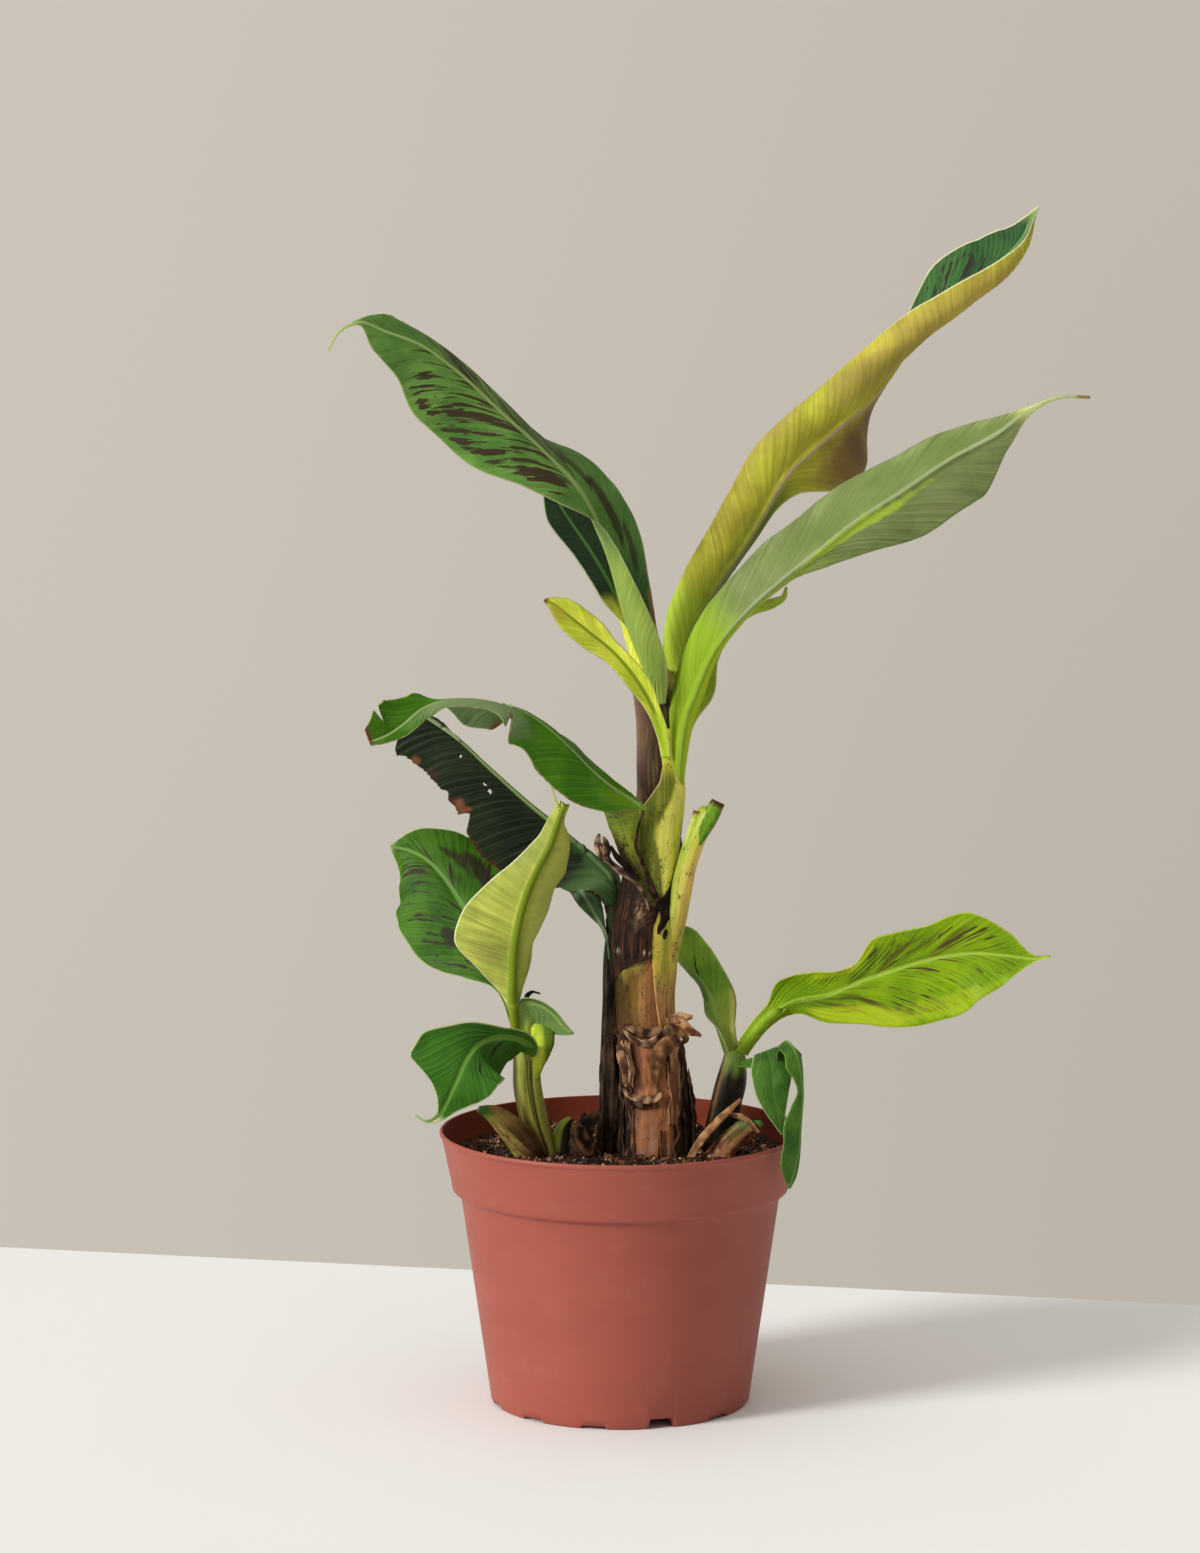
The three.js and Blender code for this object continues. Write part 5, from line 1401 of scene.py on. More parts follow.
def middle_shoot_paint(degrees, along, z):
    """Green on its left, dark on its right and at its foot."""
    tone = between(0x2a2416, 0x8a9a34, soft(-degrees, -10, 25))
    return laid(tone, 0x2a1c12, soft(z, 184, 174))


def dead_shoot_paint(degrees, along, z):
    """Dead brown fibres."""
    return between(0x1c130d, 0x4e3222, soft(ring_grain(degrees, 3, z / 9), -0.1, 0.5))


def cut_petiole_paint(degrees, along, z):
    """Pale yellow-green, tan on its right and greener on its left."""
    blot = ring_grain(degrees, 2, z / 15)
    streak = grain(degrees / 9, z / 40, 2)
    tone = between(0xc8b858, 0xbcc04c, soft(z + 8 * blot, 375, 402))
    tone = laid(tone, 0xdcb45c, soft(degrees + 12 * streak, 8, 40) * soft(z, 408, 392) * 0.8)
    tone = laid(tone, 0xb0a044, soft(z, 372, 335))
    return laid(tone, 0x7c9430, soft(degrees + 20 * streak, 6, -40) * 0.75)


def dry_stub_paint(degrees, along, z):
    """Dark, with pale papery flakes above its foot."""
    pale = soft(ring_grain(degrees, 3, along / 7), -0.1, 0.5) * soft(along, 6, 22)
    return between(0x1f1511, 0x8c6a52, pale)


def dry_stub_relief(degrees, along, z):
    """Shrivelled folds, flatter at the foot."""
    return 2.0 * ring_grain(degrees, 2.2, along / 9) * soft(along, 0, 20)


# What lies over each stem of LIMBS but the trunk
STEMS = {
    "side_stem": dict(slot="dark_stem", paint=side_stem_paint, relief=plain_relief(0.5, 1), rough=0.5),
    "left_shoot_stem": dict(slot="green_stem", paint=left_stem_paint, relief=left_stem_relief,
                            rough=0.42),
    "right_shoot_stem": dict(slot="dark_stem", paint=right_stem_paint, relief=plain_relief(0.45, 3),
                             rough=0.42),
    "middle_shoot": dict(slot="green_stem", paint=middle_shoot_paint, relief=plain_relief(0.4, 4),
                         rough=0.45),
    "dead_shoot": dict(slot="dark_stem", paint=dead_shoot_paint, relief=plain_relief(1.0, 5), rough=0.7),
    "cut_petiole": dict(slot="green_stem", paint=cut_petiole_paint, relief=plain_relief(0.4, 6), rough=0.4),
    "dry_stub": dict(slot="dry_husk", paint=dry_stub_paint, relief=dry_stub_relief, rough=0.75),
}


def build_stems():
    """The shoots' stems, the dead stem and the cut and dried stalks."""
    for name, stem in STEMS.items():
        rows, _ = smooth_rows(LIMBS[name], SKIN_STEP)
        skin = skin_material(name + "_fibres", 600, stem["rough"], relief=0.0004,
                             spots=0.8 if name == "cut_petiole" else 0.0)
        made = wrapped_skin(name + "_skin", rows, stem["paint"], stem["relief"], skin, STEM_SIDES)
        attach(made, stem["slot"], name)


# Leaves

MAROON = 0x452c2a

# How each leaf's faces look and how its blade is shaped. Places along a leaf are counted in stations,
# places across in shares of the half-blade, with the left below 0. A nick is a side, a place, half its
# length and its depth. A hole is a place along, a place across and its reach both ways. A mark has these
# four too, then its colour and its strength.
LEAF_LOOKS = {
    "leaf_upper_left": dict(
        slot="leaf_spotted", slant=2.2,
        upper=dict(base=0x76a24a, deep=0x558438, foot=0x3f6a34, foot_end=0.3, rib=0xa9c276,
                   vein=0x7c9e5c, rib_half=0.0022, fleck=MAROON, fleck_amount=0.78, fleck_length=0.026,
                   fleck_from=0.42, fleck_to=0.8, vein_amount=0.14, tip=0xa9b27c),
        under=dict(base=0x7c9a54, deep=0x648444, foot=0x93aa4c, foot_end=0.33, rib=0x9cb460,
                   tip=0xc4c890, marked=0.0),
        shape=dict(ruffle=1.6, pleat=0.18, stalk=2.6, stalk_end=120, rib=2.2, groove=0.9, seed=1.3,
                   marks=[(4.6, 0.6, 2.2, 0.55, 0x4a7238, 0.5), (4.4, 0.45, 0.7, 0.12, 0x3a2426, 0.8),
                          (3.6, 0.65, 0.5, 0.1, 0x3a2426, 0.7), (5.4, 0.35, 0.6, 0.1, 0x3a2426, 0.7),
                          (1.2, 0.95, 1.8, 0.16, 0xa07c54, 0.9), (0.2, 0.0, 0.9, 1.5, 0x9cae3c, 0.8)])),
    "leaf_upper_left_back": dict(
        # Its near-black green is partly the leaf's own dark colour and partly painted shade, as it lies
        # behind the upper left leaf
        slot="leaf_dark",
        upper=dict(base=0x1a3012, deep=0x12240c, foot=0xe6ea4c, foot_end=0.42, rib=0x3c6428,
                   border=0x9aa878, vein=0x2c4a20),
        under=dict(base=0x1c3012, deep=0x14250c, foot=0xe6ea4c, foot_end=0.42, rib=0x5c7c38,
                   vein=0x2c4a20),
        shape=dict(ruffle=2.0, stalk=2.4, stalk_end=70, seed=2.1)),
    "leaf_top_right": dict(
        slot="leaf_olive", slant=1.7,
        upper=dict(base=0x3a6630, deep=0x274f28, foot=0x7f9a34, foot_end=0.18, rib=0x7fa860,
                   rib_half=0.0026, marked=0.0, fleck=0x33282c, fleck_amount=0.62, fleck_from=0.6,
                   fleck_to=0.9, border=0xe6e2b4, border_width=0.0016, tip=0xb9c860, tip_start=0.96),
        under=dict(base=0xc2c23c, deep=0xa8a236, foot=0xb0c838, foot_end=0.2, rib=0xc4a888,
                   rib_half=0.0013, vein=0xa08a44, vein_amount=0.3, border=0xe6e0b0, border_width=0.0014,
                   gloss=0.42, tip=0xb4a050),
        shape=dict(ruffle=0.9, ruffle_length=20, pleat=0.14, rib=1.8, stalk=1.6, stalk_end=70, seed=3.7,
                   marks=[(7.2, -0.66, 1.9, 0.66, 0x86683e, 0.94),
                          # On the next line, the dark green mark low on the left half is painted shade on
                          # the stalk's flank away from the light
                          (10.8, -0.6, 3.2, 0.8, 0xa8884c, 0.75), (2.4, -0.55, 2.9, 0.8, 0x4c6c1a, 0.88),
                          (8.2, 0.35, 1.4, 0.26, 0xa88c50, 0.5), (10.6, 0.66, 2.6, 0.34, 0xc8a45c, 0.5),
                          (5.5, 0.75, 1.2, 0.26, 0xb09858, 0.45), (3.6, 0.45, 1.0, 0.24, 0x94802c, 0.4),
                          (6.9, -0.5, 0.3, 0.5, 0x5a3c34, 0.4), (7.6, -0.6, 0.25, 0.5, 0x5a3c34, 0.4)])),
    "leaf_middle_right": dict(
        slot="leaf_dull", slant=2.4,
        upper=dict(base=0x527a44, deep=0x42683a),
        under=dict(base=0x84925a, deep=0x728248, foot=0x90b022, foot_end=0.34, rib=0xa4b484,
                   rib_half=0.0008, vein=0x94a670, vein_amount=0.1, border=0xa2b47c, border_width=0.0008,
                   gloss=0.55, tip=0xd8da84, tip_start=0.86),
        shape=dict(ruffle=1.2, pleat=0.08, rib=2.0, stalk=2.2, stalk_end=110, groove=0.4, seed=4.2,
                   marks=[(14.8, 0, 0.3, 2, 0x8a6a3c, 0.9), (3.6, -0.6, 4.4, 0.6, 0xb2cc24, 0.88),
                          (8.6, -0.14, 1.7, 0.14, 0xacc83c, 0.85), (9.8, 0.35, 3.6, 0.4, 0x647c34, 0.5)])),
    "leaf_young_front": dict(
        slot="leaf_lime", slant=2.0,
        upper=dict(base=0xf2f856, deep=0xd2e23c, foot=0xc4e034, foot_end=0.25, rib=0x88a024,
                   rib_half=0.0012, vein=0xd8dc70, vein_amount=0.25, border=0xdfe48c,
                   border_width=0.0008, tip=0xb0b840),
        under=dict(base=0xc2cf48, deep=0xaabf38, foot=0xaecb2c, foot_end=0.25, rib=0xb6c440),
        shape=dict(ruffle=2.8, ruffle_length=12, pleat=0.3, stalk=1.2, stalk_end=45, rib=0.9, seed=5.5,
                   marks=[(7.9, 0.0, 0.3, 1.4, 0x7a4a28, 0.9), (6.6, -0.4, 0.6, 0.7, 0xd8c040, 0.5)])),
    "leaf_young_back": dict(
        slot="leaf_lime",
        upper=dict(base=0xbcd040, deep=0x9cb82e, foot=0xa6c02c, foot_end=0.3, rib=0x8ca42c, tip=0x8a6c3a),
        under=dict(base=0xb4c83c, deep=0x98b02e, foot=0xa6c02c, foot_end=0.3, rib=0xa6bc38, tip=0x8a6c3a),
        shape=dict(ruffle=2.2, ruffle_length=12, stalk=1.0, stalk_end=40, rib=0.9, seed=6.1)),
    "leaf_arching_left": dict(
        slot="leaf_green", slant=1.7,
        upper=dict(base=0x4c8010, deep=0x3a6c0a, foot=0x6f8a2c, foot_end=0.03, rib=0x98ac6c,
                   rib_half=0.0013, vein=0x78a84c, vein_amount=0.15, border=0xb8c470,
                   border_width=0.0008, tip=0x7a5c34, tip_start=0.975, scorch=0x9a6a44,
                   scorch_reach=0.0012),
        under=dict(base=0x7e9866, deep=0x668650, foot=0x7f8c2e, foot_end=0.03, rib=0xc2c8a0,
                   rib_half=0.0016, vein=0x9cb488, vein_amount=0.2, border=0xc4c690, gloss=0.42,
                   tip=0x7a5c34, tip_start=0.975, scorch=0x9a6a44, scorch_reach=0.0012),
        shape=dict(ruffle=1.8, pleat=0.3, pleat_step=5.4, rib=1.4, ragged=0.5, seed=7.7,
                   nicks=[(-1, 6.45, 0.16, 0.75), (1, 11.7, 0.2, 0.6)],
                   # The first mark, pale grey-green over the left half's middle, is painted sheen
                   marks=[(8.0, -0.5, 2.9, 0.62, 0x8a9a70, 0.75),
                          (6.45, -0.8, 0.14, 0.25, 0x9a6a4c, 0.9),
                          (6.7, 0.95, 0.26, 0.14, 0x9a5a34, 0.9), (13, 0.5, 0.25, 2, 0x6a3a20, 0.9),
                          (1, -0.3, 1.6, 0.5, 0x7ca01c, 0.5)])),
    "leaf_hanging_left": dict(
        slot="leaf_dark", slant=1.2,
        upper=dict(base=0x1e2914, deep=0x131c0e, foot=0x4e6c3c, foot_end=0.3, rib=0x86a058,
                   rib_half=0.003, vein=0x48563a, vein_amount=0.22, border=0x9aa080, border_width=0.0006,
                   scorch=0x5a3424, scorch_reach=0.0045, gloss=0.44, tip=0x4a5a3a),
        under=dict(base=0x36482a, deep=0x283820, foot=0x5a8434, foot_end=0.13, rib=0x8fa274,
                   scorch=0x6a3e26, scorch_reach=0.007),
        shape=dict(ruffle=2.4, pleat=0.35, pleat_step=8.5, stalk=1.6, stalk_end=45, rib=2.0, ragged=1.3,
                   seed=8.8,
                   nicks=[(-1, 5.7, 0.14, 0.2), (-1, 6.3, 0.12, 0.1), (-1, 2.2, 0.2, 0.25)],
                   holes=[(5.85, -0.3, 0.045, 0.025), (5.7, -0.37, 0.04, 0.025),
                          (6.6, -0.25, 0.03, 0.02)],
                   marks=[(5.9, -0.9, 0.2, 0.1, 0x7a4a30, 0.9), (7.7, -0.92, 0.2, 0.1, 0x7a4a30, 0.8),
                          (6.9, -0.9, 0.25, 0.1, 0x3a2418, 0.8), (2.2, 0.0, 1.7, 0.24, 0x3a5a2c, 0.75)])),
    "left_shoot_leaf_back": dict(
        slot="leaf_spotted", slant=1.8,
        upper=dict(base=0x447010, deep=0x305a0a, foot=0x5a7c2c, foot_end=0.12, rib=0x6c9444,
                   rib_half=0.0022, fleck=0x33281f, fleck_amount=0.52, fleck_length=0.02, vein=0x6c9c40,
                   vein_amount=0.16, border=0x8fb44a, border_width=0.0008, gloss=0.42),
        under=dict(base=0x6a8a48, deep=0x5a7c3c, rib=0x9cb070),
        shape=dict(ruffle=2.6, ruffle_length=26, pleat=0.2, stalk=1.5, stalk_end=40, rib=2.2, groove=1.1,
                   groove_half=3.0, seed=9.4,
                   marks=[(5.6, 0.62, 0.9, 0.12, 0x2c2018, 0.9), (6.4, 0.45, 0.7, 0.1, 0x2c2018, 0.8),
                          (4.6, -0.42, 0.3, 0.1, 0x2a2018, 0.85),
                          (3.2, -0.15, 0.25, 0.14, 0x2a2018, 0.85)])),
    "left_shoot_leaf_upright": dict(
        slot="leaf_pale", slant=0.25,
        upper=dict(base=0x8aa83a, deep=0x7a9a34),
        under=dict(base=0xb4ba50, deep=0x929c40, foot=0x7f9018, foot_end=0.16, rib=0x748c14,
                   rib_half=0.0026, vein=0x848a34, vein_amount=0.25, border=0xe8e8b8,
                   border_width=0.0012, gloss=0.46, tip=0xc4c858, tip_start=0.93),
        shape=dict(ruffle=1.6, ruffle_length=16, pleat=0.15, rib=2.2, stalk=1.2, stalk_end=35, seed=10.6,
                   marks=[(6.9, -0.42, 0.12, 0.07, 0x1c120c, 1.0), (8.0, -0.2, 0.05, 0.1, 0x2a1c10, 0.9),
                          (4.2, -0.35, 0.09, 0.05, 0x6a7a20, 0.8), (2.6, 0.5, 0.3, 0.3, 0x8a7c48, 0.35),
                          (3.4, 0.5, 0.14, 0.4, 0x7c7434, 0.4), (3.0, 0.45, 0.12, 0.45, 0x7c7434, 0.4),
                          (5.2, -0.62, 4.0, 0.5, 0xe2e870, 0.66), (6.6, 0.5, 1.6, 0.5, 0x8e9c50, 0.3),
                          (9.0, 0.0, 0.12, 2, 0x5a5a2c, 0.9)])),
    "left_shoot_leaf_front": dict(
        slot="leaf_green", slant=2.0,
        upper=dict(base=0x3f7420, deep=0x325f1b, foot=0x4f7a28, foot_end=0.1, rib=0x6f9c3c,
                   rib_half=0.0018, fleck=0x2e2a22, fleck_amount=0.42, fleck_from=0.2, fleck_to=0.6,
                   fleck_side=-1, vein=0x7aa848, vein_amount=0.18, border=0xb9cc84, border_width=0.001,
                   gloss=0.32, tip=0xe4e4b0, tip_start=0.84),
        under=dict(base=0x6a8a4c, deep=0x5a7c3c, border=0xb9cc84),
        shape=dict(ruffle=2.4, ruffle_length=22, pleat=0.35, stalk=1.4, stalk_end=25, rib=1.6,
                   groove=1.0, seed=11.2)),
    "left_shoot_leaf_small": dict(
        slot="leaf_dull",
        upper=dict(base=0x7a9a52, deep=0x648444, border=0xb8c490, foot=0xa4b43c, foot_end=0.42,
                   tip=0x3a2c1c, tip_start=0.95),
        under=dict(base=0x6c8a4c, deep=0x54723c, foot=0x8fae24, foot_end=0.5, rib=0x7a9848,
                   border=0xb4c08c, border_width=0.001, gloss=0.4, tip=0x3a2c1c, tip_start=0.9),
        shape=dict(ruffle=1.4, ruffle_length=14, stalk=1.0, stalk_end=25, rib=1.2, seed=12.9)),
    "right_shoot_leaf_back": dict(
        slot="leaf_green", slant=1.8,
        upper=dict(base=0x94c040, deep=0x6c9c30, foot=0x7a9a3c, foot_end=0.35, rib=0xa0c468,
                   fleck=0x3a2e2c, fleck_amount=0.4, fleck_from=0.5, border=0xb4c478),
        under=dict(base=0x84b43c, deep=0x649430, foot=0x7c9a38, foot_end=0.4, rib=0x96ba5c),
        shape=dict(ruffle=1.6, stalk=1.6, stalk_end=50, rib=1.4, seed=13.3,
                   marks=[(0.8, 0.3, 1.3, 0.7, 0xa4b048, 0.7), (1.1, 0.84, 1.2, 0.18, 0xc6c468, 0.85),
                          (0.9, 0.99, 1.4, 0.07, 0x9a5444, 0.8)])),
    "right_shoot_leaf_long": dict(
        slot="leaf_lime", slant=2.6,
        upper=dict(base=0x82a404, deep=0x6a9002, foot=0x84a018, foot_end=0.2, rib=0x9cbc3c,
                   rib_half=0.0017, fleck=0x4a3a1c, fleck_amount=0.5, fleck_length=0.02, fleck_from=0.3,
                   vein=0xa4c43c, vein_amount=0.32, border=0xc4d450, border_width=0.0008, gloss=0.34,
                   tip=0xd8dc90, tip_start=0.965),
        under=dict(base=0x8aa834, deep=0x7c9c2c, foot=0x86a81c, foot_end=0.3, rib=0xa4c040),
        shape=dict(ruffle=2.2, ruffle_length=26, pleat=0.4, stalk=2.4, stalk_end=60, rib=1.6, seed=14.8,
                   mark_shear=2.0,
                   marks=[(5.0, 0.45, 0.17, 0.36, 0x4c3a18, 0.85), (4.2, 0.42, 0.13, 0.3, 0x4c3a18, 0.8),
                          (3.6, 0.2, 1.2, 0.2, 0x547010, 0.5), (6.2, -0.4, 0.2, 0.4, 0x54481c, 0.75),
                          (6.8, -0.45, 0.13, 0.34, 0x54481c, 0.7),
                          (7.5, -0.4, 0.18, 0.36, 0x54481c, 0.7), (5.2, -0.3, 0.16, 0.3, 0x54481c, 0.6),
                          (4.6, 0.75, 1.2, 0.3, 0xc4cc28, 0.5), (7.4, 0.8, 1.5, 0.2, 0xb4c81c, 0.4),
                          (5.0, -0.85, 1.0, 0.2, 0xc4cc28, 0.5)])),
    "right_shoot_leaf_hanging": dict(
        slot="leaf_green", slant=2.4,
        upper=dict(base=0x4f7a26, deep=0x2e5616, foot=0x446c20, rib=0x6c9044, border=0x86a050,
                   border_width=0.0005, gloss=0.36, tip=0xa8b070),
        under=dict(base=0x587f2c, deep=0x365c1a, foot=0x446c20, rib=0x6c9044, border=0x86a050,
                   border_width=0.0005, tip=0xa8b070),
        shape=dict(ruffle=1.4, ruffle_length=22, pleat=0.1, groove=0.0, rib=1.2, seed=15.1),
        fold=[(100.5, -42, 256.5, 8.5, 172, 185, 9, 8, -5),
              (102, -43, 252.5, 11, 168, 190, 11.5, 12, -10),
              (104.3, -44, 242.5, 14.3, 165, 195, 14.3, 15, -15),
              (105.3, -45, 227.5, 11.5, 165, 195, 12, 15, -15),
              (107.5, -46, 215.5, 7.6, 168, 195, 7.8, 12, -15),
              (110, -46.5, 206, 3.8, 170, 190, 3.9, 10, -10),
              (112.3, -47, 198, 0.8, 170, 190, 0.8, 10, -10)]),
}


def left_cut_tone(at):
    """The cut sheath on the left: yellow-green above, tan in streaks, purple-brown at its right edge."""
    across = at.x + 60 + 0.886 * (at.z - 171)
    streak = grain(across / 1.8, at.z / 40) + 0.6 * grain(across / 0.9, at.z / 24, 3)
    tone = between(0xb8a45a, 0x86582e, soft(streak, -0.3, 0.35))
    tone = laid(tone, 0xa4b048, soft(across + 2 * streak, 1, -8) * 0.7)
    tone = laid(tone, 0x848a3c, soft(at.z + 6 * streak, 198, 210) * 0.7)
    tone = laid(tone, 0x3e5a20, soft(at.z + 2 * streak, 208, 213))
    tone = laid(tone, 0x8a5a34, soft(abs(across), 6, 9) * soft(at.z, 196, 204) * 0.6)
    tone = laid(tone, 0x40201a, soft(across + 2 * streak, 4, 10) * soft(at.z, 208, 196) * 0.85)
    return laid(tone, 0x2a1610, soft(at.z + 4 * streak, 190, 176) * soft(across, -6, 4))


def right_cut_tone(at):
    """The dead shoot's cut sheath on the right: pink-brown streaks with a green end."""
    across = at.x - 66 - 1.06 * (at.z - 172)
    streak = grain(across / 1.8, at.z / 40, 5) + 0.6 * grain(across / 0.9, at.z / 24, 8)
    tone = between(0xa87652, 0x5a3020, soft(streak, -0.3, 0.35))
    tone = laid(tone, 0x4a5a24, soft(across + 2 * streak, -2, -7) * soft(at.z, 186, 196) * 0.6)
    tone = laid(tone, 0x3e6424, soft(at.z + 2 * streak, 199, 203))
    return laid(tone, 0x2e1812, soft(across + 2 * streak, 4, 10) * 0.6)


SHEATH_LOOKS = {
    "left_cut_sheath": dict(slot="fresh_sheath", tone=left_cut_tone, ragged=0.3, seed=17.2),
    "right_cut_sheath": dict(slot="dry_husk", tone=right_cut_tone, ragged=0.8, seed=18.6),
}


def small_sheath_tone(at):
    """The small leaf's sheath: yellow-green on its left, darker green on its right."""
    streak = grain(at.x / 2, at.z / 12)
    tone = between(0xb8c838, 0x94aa34, soft(streak, -0.2, 0.4))
    return laid(tone, 0x46641c, soft(at.x + 2 * streak, -55, -52) * 0.9)


def torn_fold_tone(at):
    """The torn fold under the hanging leaf's foot: dark green, paler along its inner edge."""
    streak = grain((at.x + at.z) / 5, (at.x - at.z) / 14)
    tone = between(0x45603c, 0x263c22, soft(streak, -0.3, 0.4))
    seam = math.exp(-((at.x + 0.62 * (at.z - 350) + 21) / 1.2) ** 2)
    return laid(tone, 0x8a9a70, seam * 0.6)


def cut_flap_tone(at):
    """The flap of the cut stalk: green, brown along its slanting cut edge."""
    tone = between(0x6c9020, 0x44701a, soft(grain(at.x / 2, at.z / 9), -0.2, 0.4))
    return laid(tone, 0x4a2a14, soft(at.z + 0.5 * at.x + 1.5 * grain(at.x / 2, at.z / 2), 456, 460))


def cut_lip_tone(at):
    """The lip of the cut stalk: pale, brown at its top."""
    return between(0xb4be4c, 0x6a4a20, soft(at.z + 2 * grain(at.x / 2, at.z / 2), 417, 420))


def whisker_tone(at):
    """The upright leaf's whisker: green, dry at its end."""
    return between(0xb4c25a, 0xc8a484, soft(at.z, 428, 440))


# Small pieces of stalk and sheath, with stations like those of the leaves
STALK_PIECES = {
    "hanging_leaf_torn_fold": dict(tone=torn_fold_tone, stations=[
        (-33, 27, 381, 7, 180, 185, 7, 0, -5), (-29, 19, 369, 9, 180, 190, 10, 0, -10),
        (-23.5, 11, 357, 8.5, 180, 195, 9, 0, -15), (-17, 4, 346, 5.5, 180, 200, 5.5, 0, -20),
        (-12.5, -1, 338, 2, 180, 200, 2.4, 0, -20), (-9.5, -3, 328, 1.0, 180, 200, 1.2, 0, -20),
        (-7.5, -4, 314, 0.7, 180, 200, 0.7, 0, -20)]),
    "arching_leaf_stalk": dict(tone=arching_stalk_tone, stations=[
        (25, -22, 350, 0.8, 180, 200, 0.8, 0, -20), (18, -23.5, 366, 6, 180, 225, 4.5, 0, -35),
        (11, -25, 384, 10, 180, 230, 4.5, 0, -35), (6, -28, 400, 11, 180, 230, 4.5, 0, -35),
        (3, -30, 412, 12.5, 180, 225, 9, 0, -35), (1, -32, 426, 15, 180, 215, 15, 0, -30)]),
    "cut_stalk_flap": dict(tone=cut_flap_tone, stations=[
        (52, -24, 398, 3, 180, 230, 4, 0, -50), (58, -26, 410, 7, 180, 240, 7, 0, -60),
        (64, -27, 420, 8, 175, 250, 8, 0, -80), (68, -26, 428, 7, 170, 250, 7, 0, -80)]),
    "small_leaf_sheath": dict(tone=small_sheath_tone, stations=[
        (-59, -24, 233, 2, 180, 220, 2, 0, -40), (-57.5, -25, 243, 4, 180, 225, 5, 0, -45),
        (-55.5, -25, 252, 7, 180, 220, 7.5, 0, -40), (-54.5, -22, 260, 8.5, 180, 210, 9, 0, -30),
        (-54.5, -13, 271, 8, 180, 200, 8, 0, -20)]),
    "upright_leaf_whisker": dict(tone=whisker_tone, stations=[
        (-42, -36, 423, 1.6, 180, 200, 1.6, 0, -20), (-44.5, -36, 429, 1.0, 180, 200, 1.0, 0, -20),
        (-46.5, -36, 436, 0.7, 180, 200, 0.7, 0, -20), (-48.5, -36, 443, 0.5, 180, 200, 0.5, 0, -20)]),
    "cut_stalk_lip": dict(tone=cut_lip_tone, stations=[
        (45, -22, 396, 2, 180, 200, 2, 0, -20), (51, -23, 410, 4, 170, 220, 4, 0, -40),
        (54, -23, 421, 4, 160, 220, 4, 10, -40)]),
}


def build_stalk_pieces():
    """The pieces of stalk and sheath that no node has."""
    live = skin_material("live_stalk", 900, 0.4, dark=0x2a2410, stain=0.1, relief=0.0003)
    speckled = skin_material("speckled_stalk", 900, 0.4, dark=0x1e140a, stain=0.35, relief=0.0003, spots=0.9)
    for number, (name, piece) in enumerate(STALK_PIECES.items()):
        skin = speckled if name == "arching_leaf_stalk" else live
        made = blade(name, piece["stations"], [skin], ruffle=0.4, pleat=0.0, groove=0.0, rib=0.0, blade=1.2,
                     ragged=0.4, seed=30 + number)
        paint_by_place(made, piece["tone"])
        attach(made, "green_stem")


def build_leaves():
    """Every leaf with its two faces, and the fold of the one that has one."""
    for name, look in LEAF_LOOKS.items():
        slant = look.get("slant", 1.0)
        materials = [leaf_material(name + "_upper", slant=slant, **look["upper"]),
                     leaf_material(name + "_under", slant=slant, **look["under"])]
        made = blade(name + "_blade", LEAVES[name], materials, LEAF_FACES.get(name, FRONT), slant=slant,
                     **look["shape"])
        attach(made, look["slot"], name)
        if "fold" in look:
            plain = leaf_material(name + "_fold_face", slant=slant, rib=0x4a7424, rib_half=0.0004,
                                  base=0x527c2c, deep=0x305818, foot=0x3c6420, border=0xb4c880,
                                  border_width=0.0007, gloss=0.36)
            fold = blade(name + "_fold", look["fold"], [plain], slant=slant, ruffle=1.2, rib=0.0, groove=0.0,
                         pleat=0.2, seed=16.4)
            attach(fold, look["slot"])


def build_sheaths():
    """The cut sheaths that lean out beside the shoots."""
    for name, look in SHEATH_LOOKS.items():
        skin = skin_material(name + "_face", 900, 0.45, dark=0x24140e, stain=0.15, relief=0.0004)
        made = blade(name + "_skin", LEAVES[name], [skin], ruffle=0.8, pleat=0.0, groove=-0.8, rib=0.0,
                     blade=1.4, ragged=look["ragged"], seed=look["seed"])
        paint_by_place(made, look["tone"])
        attach(made, look["slot"], name)


# Studio and camera. The floor's back edge slants as the photo's tabletop does

FLOOR_BACK_LEFT = Vector((-0.498, 0.479, 0))
FLOOR_BACK_RIGHT = Vector((0.445, 0.279, 0))
WALL_BEHIND = 1.3
CAMERA_PLACE = (-0.01427, -3.31563, 0.85748)
CAMERA_TILT_DOWN = 7.134
CAMERA_LENS = 111.27


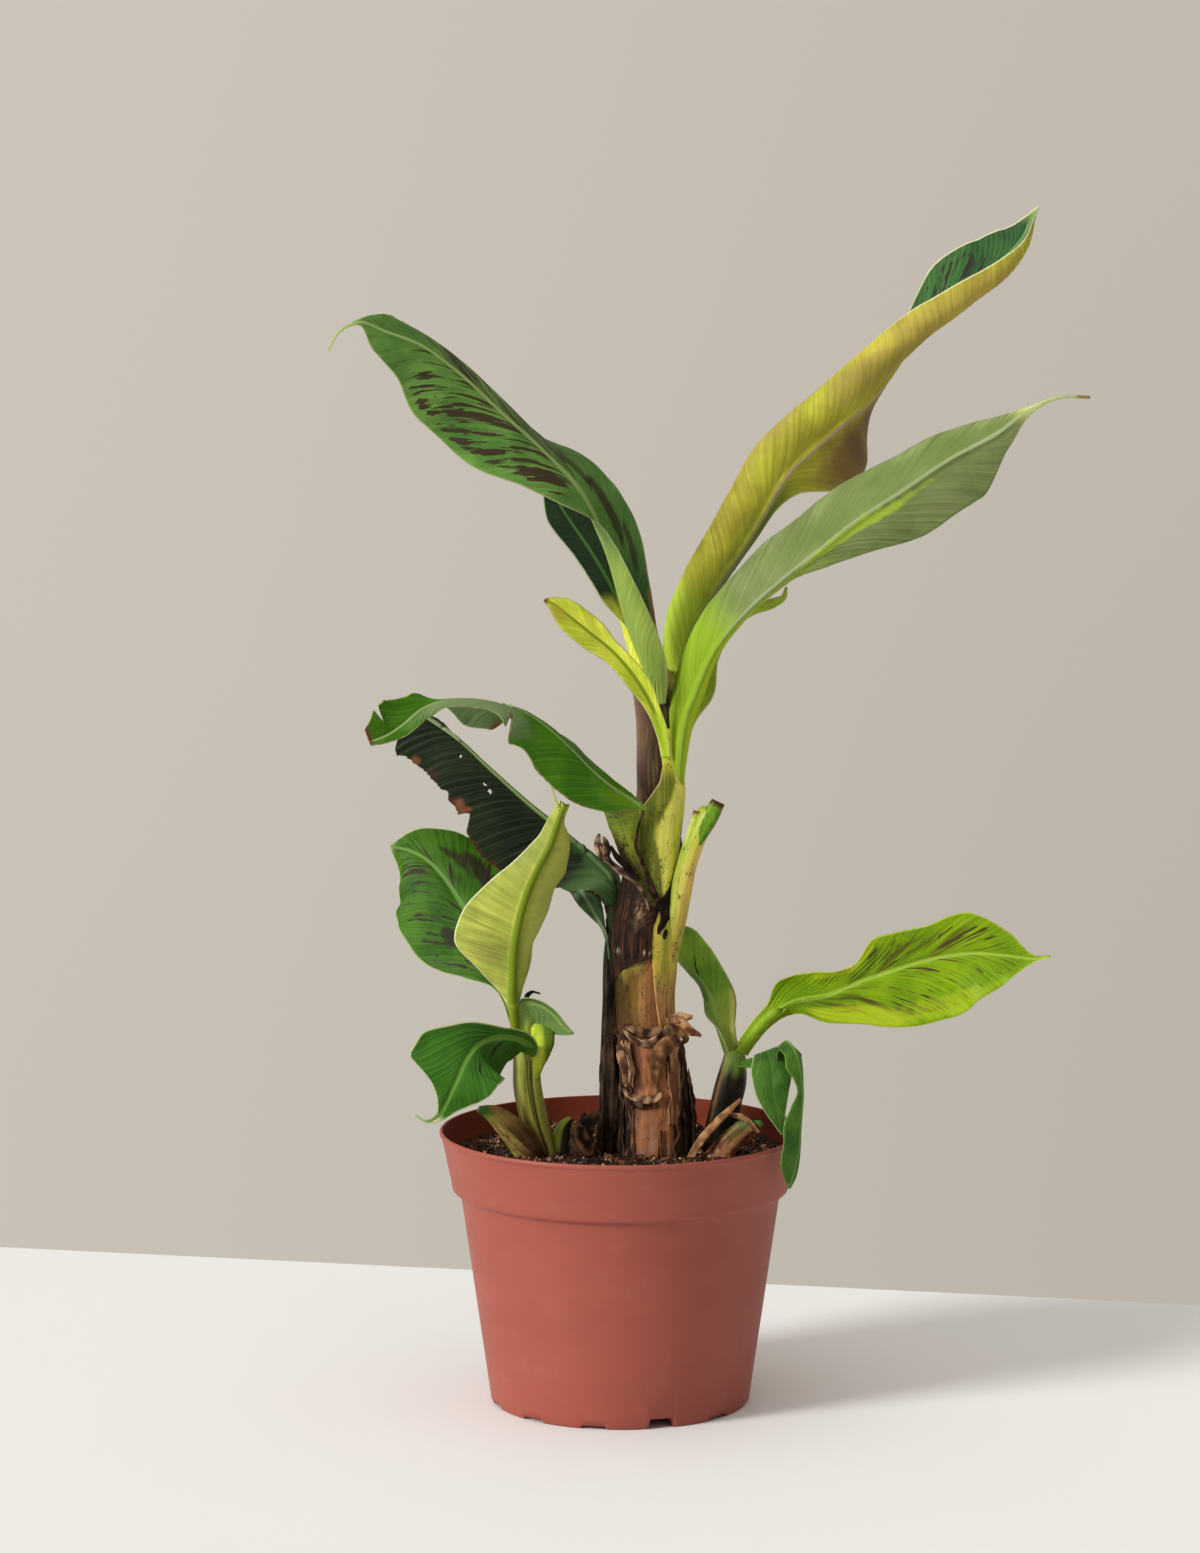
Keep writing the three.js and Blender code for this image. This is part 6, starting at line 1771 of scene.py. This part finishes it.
def build_studio():
    """A pale floor, a plain wall and soft light from the left."""
    floor = bpy.data.materials.new("pale_floor")
    floor.use_nodes = True
    nodes = Nodes(floor.node_tree)
    shader = floor.node_tree.nodes["Principled BSDF"]
    dapple = nodes.cloud(nodes.add("ShaderNodeTexCoord").outputs["Object"], 3, 2.0)
    tone = nodes.blend(dapple, (0.80, 0.80, 0.79, 1), (0.82, 0.82, 0.81, 1))
    nodes.feed(shader.inputs["Base Color"], tone)
    shader.inputs["Roughness"].default_value = 0.7
    shader.inputs["Specular IOR Level"].default_value = 0.15

    way = (FLOOR_BACK_RIGHT - FLOOR_BACK_LEFT).normalized()
    middle = (FLOOR_BACK_LEFT + FLOOR_BACK_RIGHT) / 2
    mesh = bmesh.new()
    bmesh.ops.create_grid(mesh, x_segments=2, y_segments=2, size=1)
    inward = Vector((way.y, -way.x, 0))
    for vertex in mesh.verts:
        vertex.co = middle + way * vertex.co.x * 5 + inward * (1 - vertex.co.y) * 3
    bmesh.ops.recalc_face_normals(mesh, faces=mesh.faces)
    if next(iter(mesh.faces)).normal.z < 0:
        bmesh.ops.reverse_faces(mesh, faces=mesh.faces)
    finish_object("studio_floor", mesh, [floor])

    hang_backdrop()
    world = bpy.data.worlds.new("studio")
    bpy.context.scene.world = world
    world.use_nodes = True
    around = world.node_tree.nodes["Background"]
    around.inputs["Color"].default_value = (0.37, 0.345, 0.31, 1)
    around.inputs["Strength"].default_value = 1.0
    add_sun("key", (3.05, 1.8, -1.55), 3.15, 16)
    add_sun("overhead", (0.1, 0.2, -1), 0.8, 70)


def add_sun(name, way, energy, spread):
    """A sun that shines along the way, with soft shadows by its spread in degrees."""
    light = bpy.data.lights.new(name, "SUN")
    light.energy = energy
    light.angle = math.radians(spread)
    lamp = bpy.data.objects.new(name, light)
    lamp.rotation_euler = Vector(way).to_track_quat("-Z", "Y").to_euler()
    bpy.context.scene.collection.objects.link(lamp)


def hang_backdrop():
    """A plain wall behind that glows, a little lighter on the left and towards the top as painted light."""
    made = bpy.data.materials.new("plain_wall")
    made.use_nodes = True
    nodes = Nodes(made.node_tree)
    made.node_tree.nodes.remove(made.node_tree.nodes["Principled BSDF"])
    x, _, z = nodes.parts(nodes.add("ShaderNodeTexCoord").outputs["Object"])
    # Painted light: the glow is a little lighter on the left and higher up
    low = nodes.blend(nodes.rise(x, -0.8, 0.8), colour(0xc9c3b7), colour(0xbbb3a8))
    high = nodes.blend(nodes.rise(x, -0.8, 0.8), colour(0xcfc6bb), colour(0xc2baaf))
    tone = nodes.blend(nodes.rise(z, -0.2, 1.3), low, high)
    glow = nodes.add("ShaderNodeEmission", {"Color": tone})
    clear = nodes.add("ShaderNodeBsdfTransparent")
    behind = nodes.add("ShaderNodeNewGeometry").outputs["Backfacing"]
    seen = nodes.add("ShaderNodeMixShader", {0: behind, 1: glow.outputs[0], 2: clear.outputs[0]})
    nodes.feed(made.node_tree.nodes["Material Output"].inputs["Surface"], seen.outputs[0])
    mesh = bmesh.new()
    bmesh.ops.create_grid(mesh, x_segments=2, y_segments=2, size=4)
    bmesh.ops.rotate(mesh, verts=mesh.verts, cent=(0, 0, 0), matrix=Matrix.Rotation(math.pi / 2, 3, "X"))
    bmesh.ops.translate(mesh, verts=mesh.verts, vec=(0, WALL_BEHIND, 0))
    finish_object("studio_wall", mesh, [made])


def add_camera():
    """The photo's view: a long lens, a little above the plant and looking slightly down."""
    lens = bpy.data.cameras.new("camera")
    lens.sensor_fit = "VERTICAL"
    lens.sensor_height = 36
    lens.lens = CAMERA_LENS
    view = bpy.data.objects.new("camera", lens)
    view.location = CAMERA_PLACE
    view.rotation_euler = (math.radians(90 - CAMERA_TILT_DOWN), 0, 0)
    bpy.context.scene.collection.objects.link(view)
    bpy.context.scene.camera = view
    bpy.context.scene.view_settings.view_transform = "Standard"


add_camera()
build_studio()
build_pot()
build_soil()
build_chips()
build_trunk()
build_husks()
build_stems()
build_leaves()
build_sheaths()
build_stalk_pieces()

bpy.context.view_layer.update()
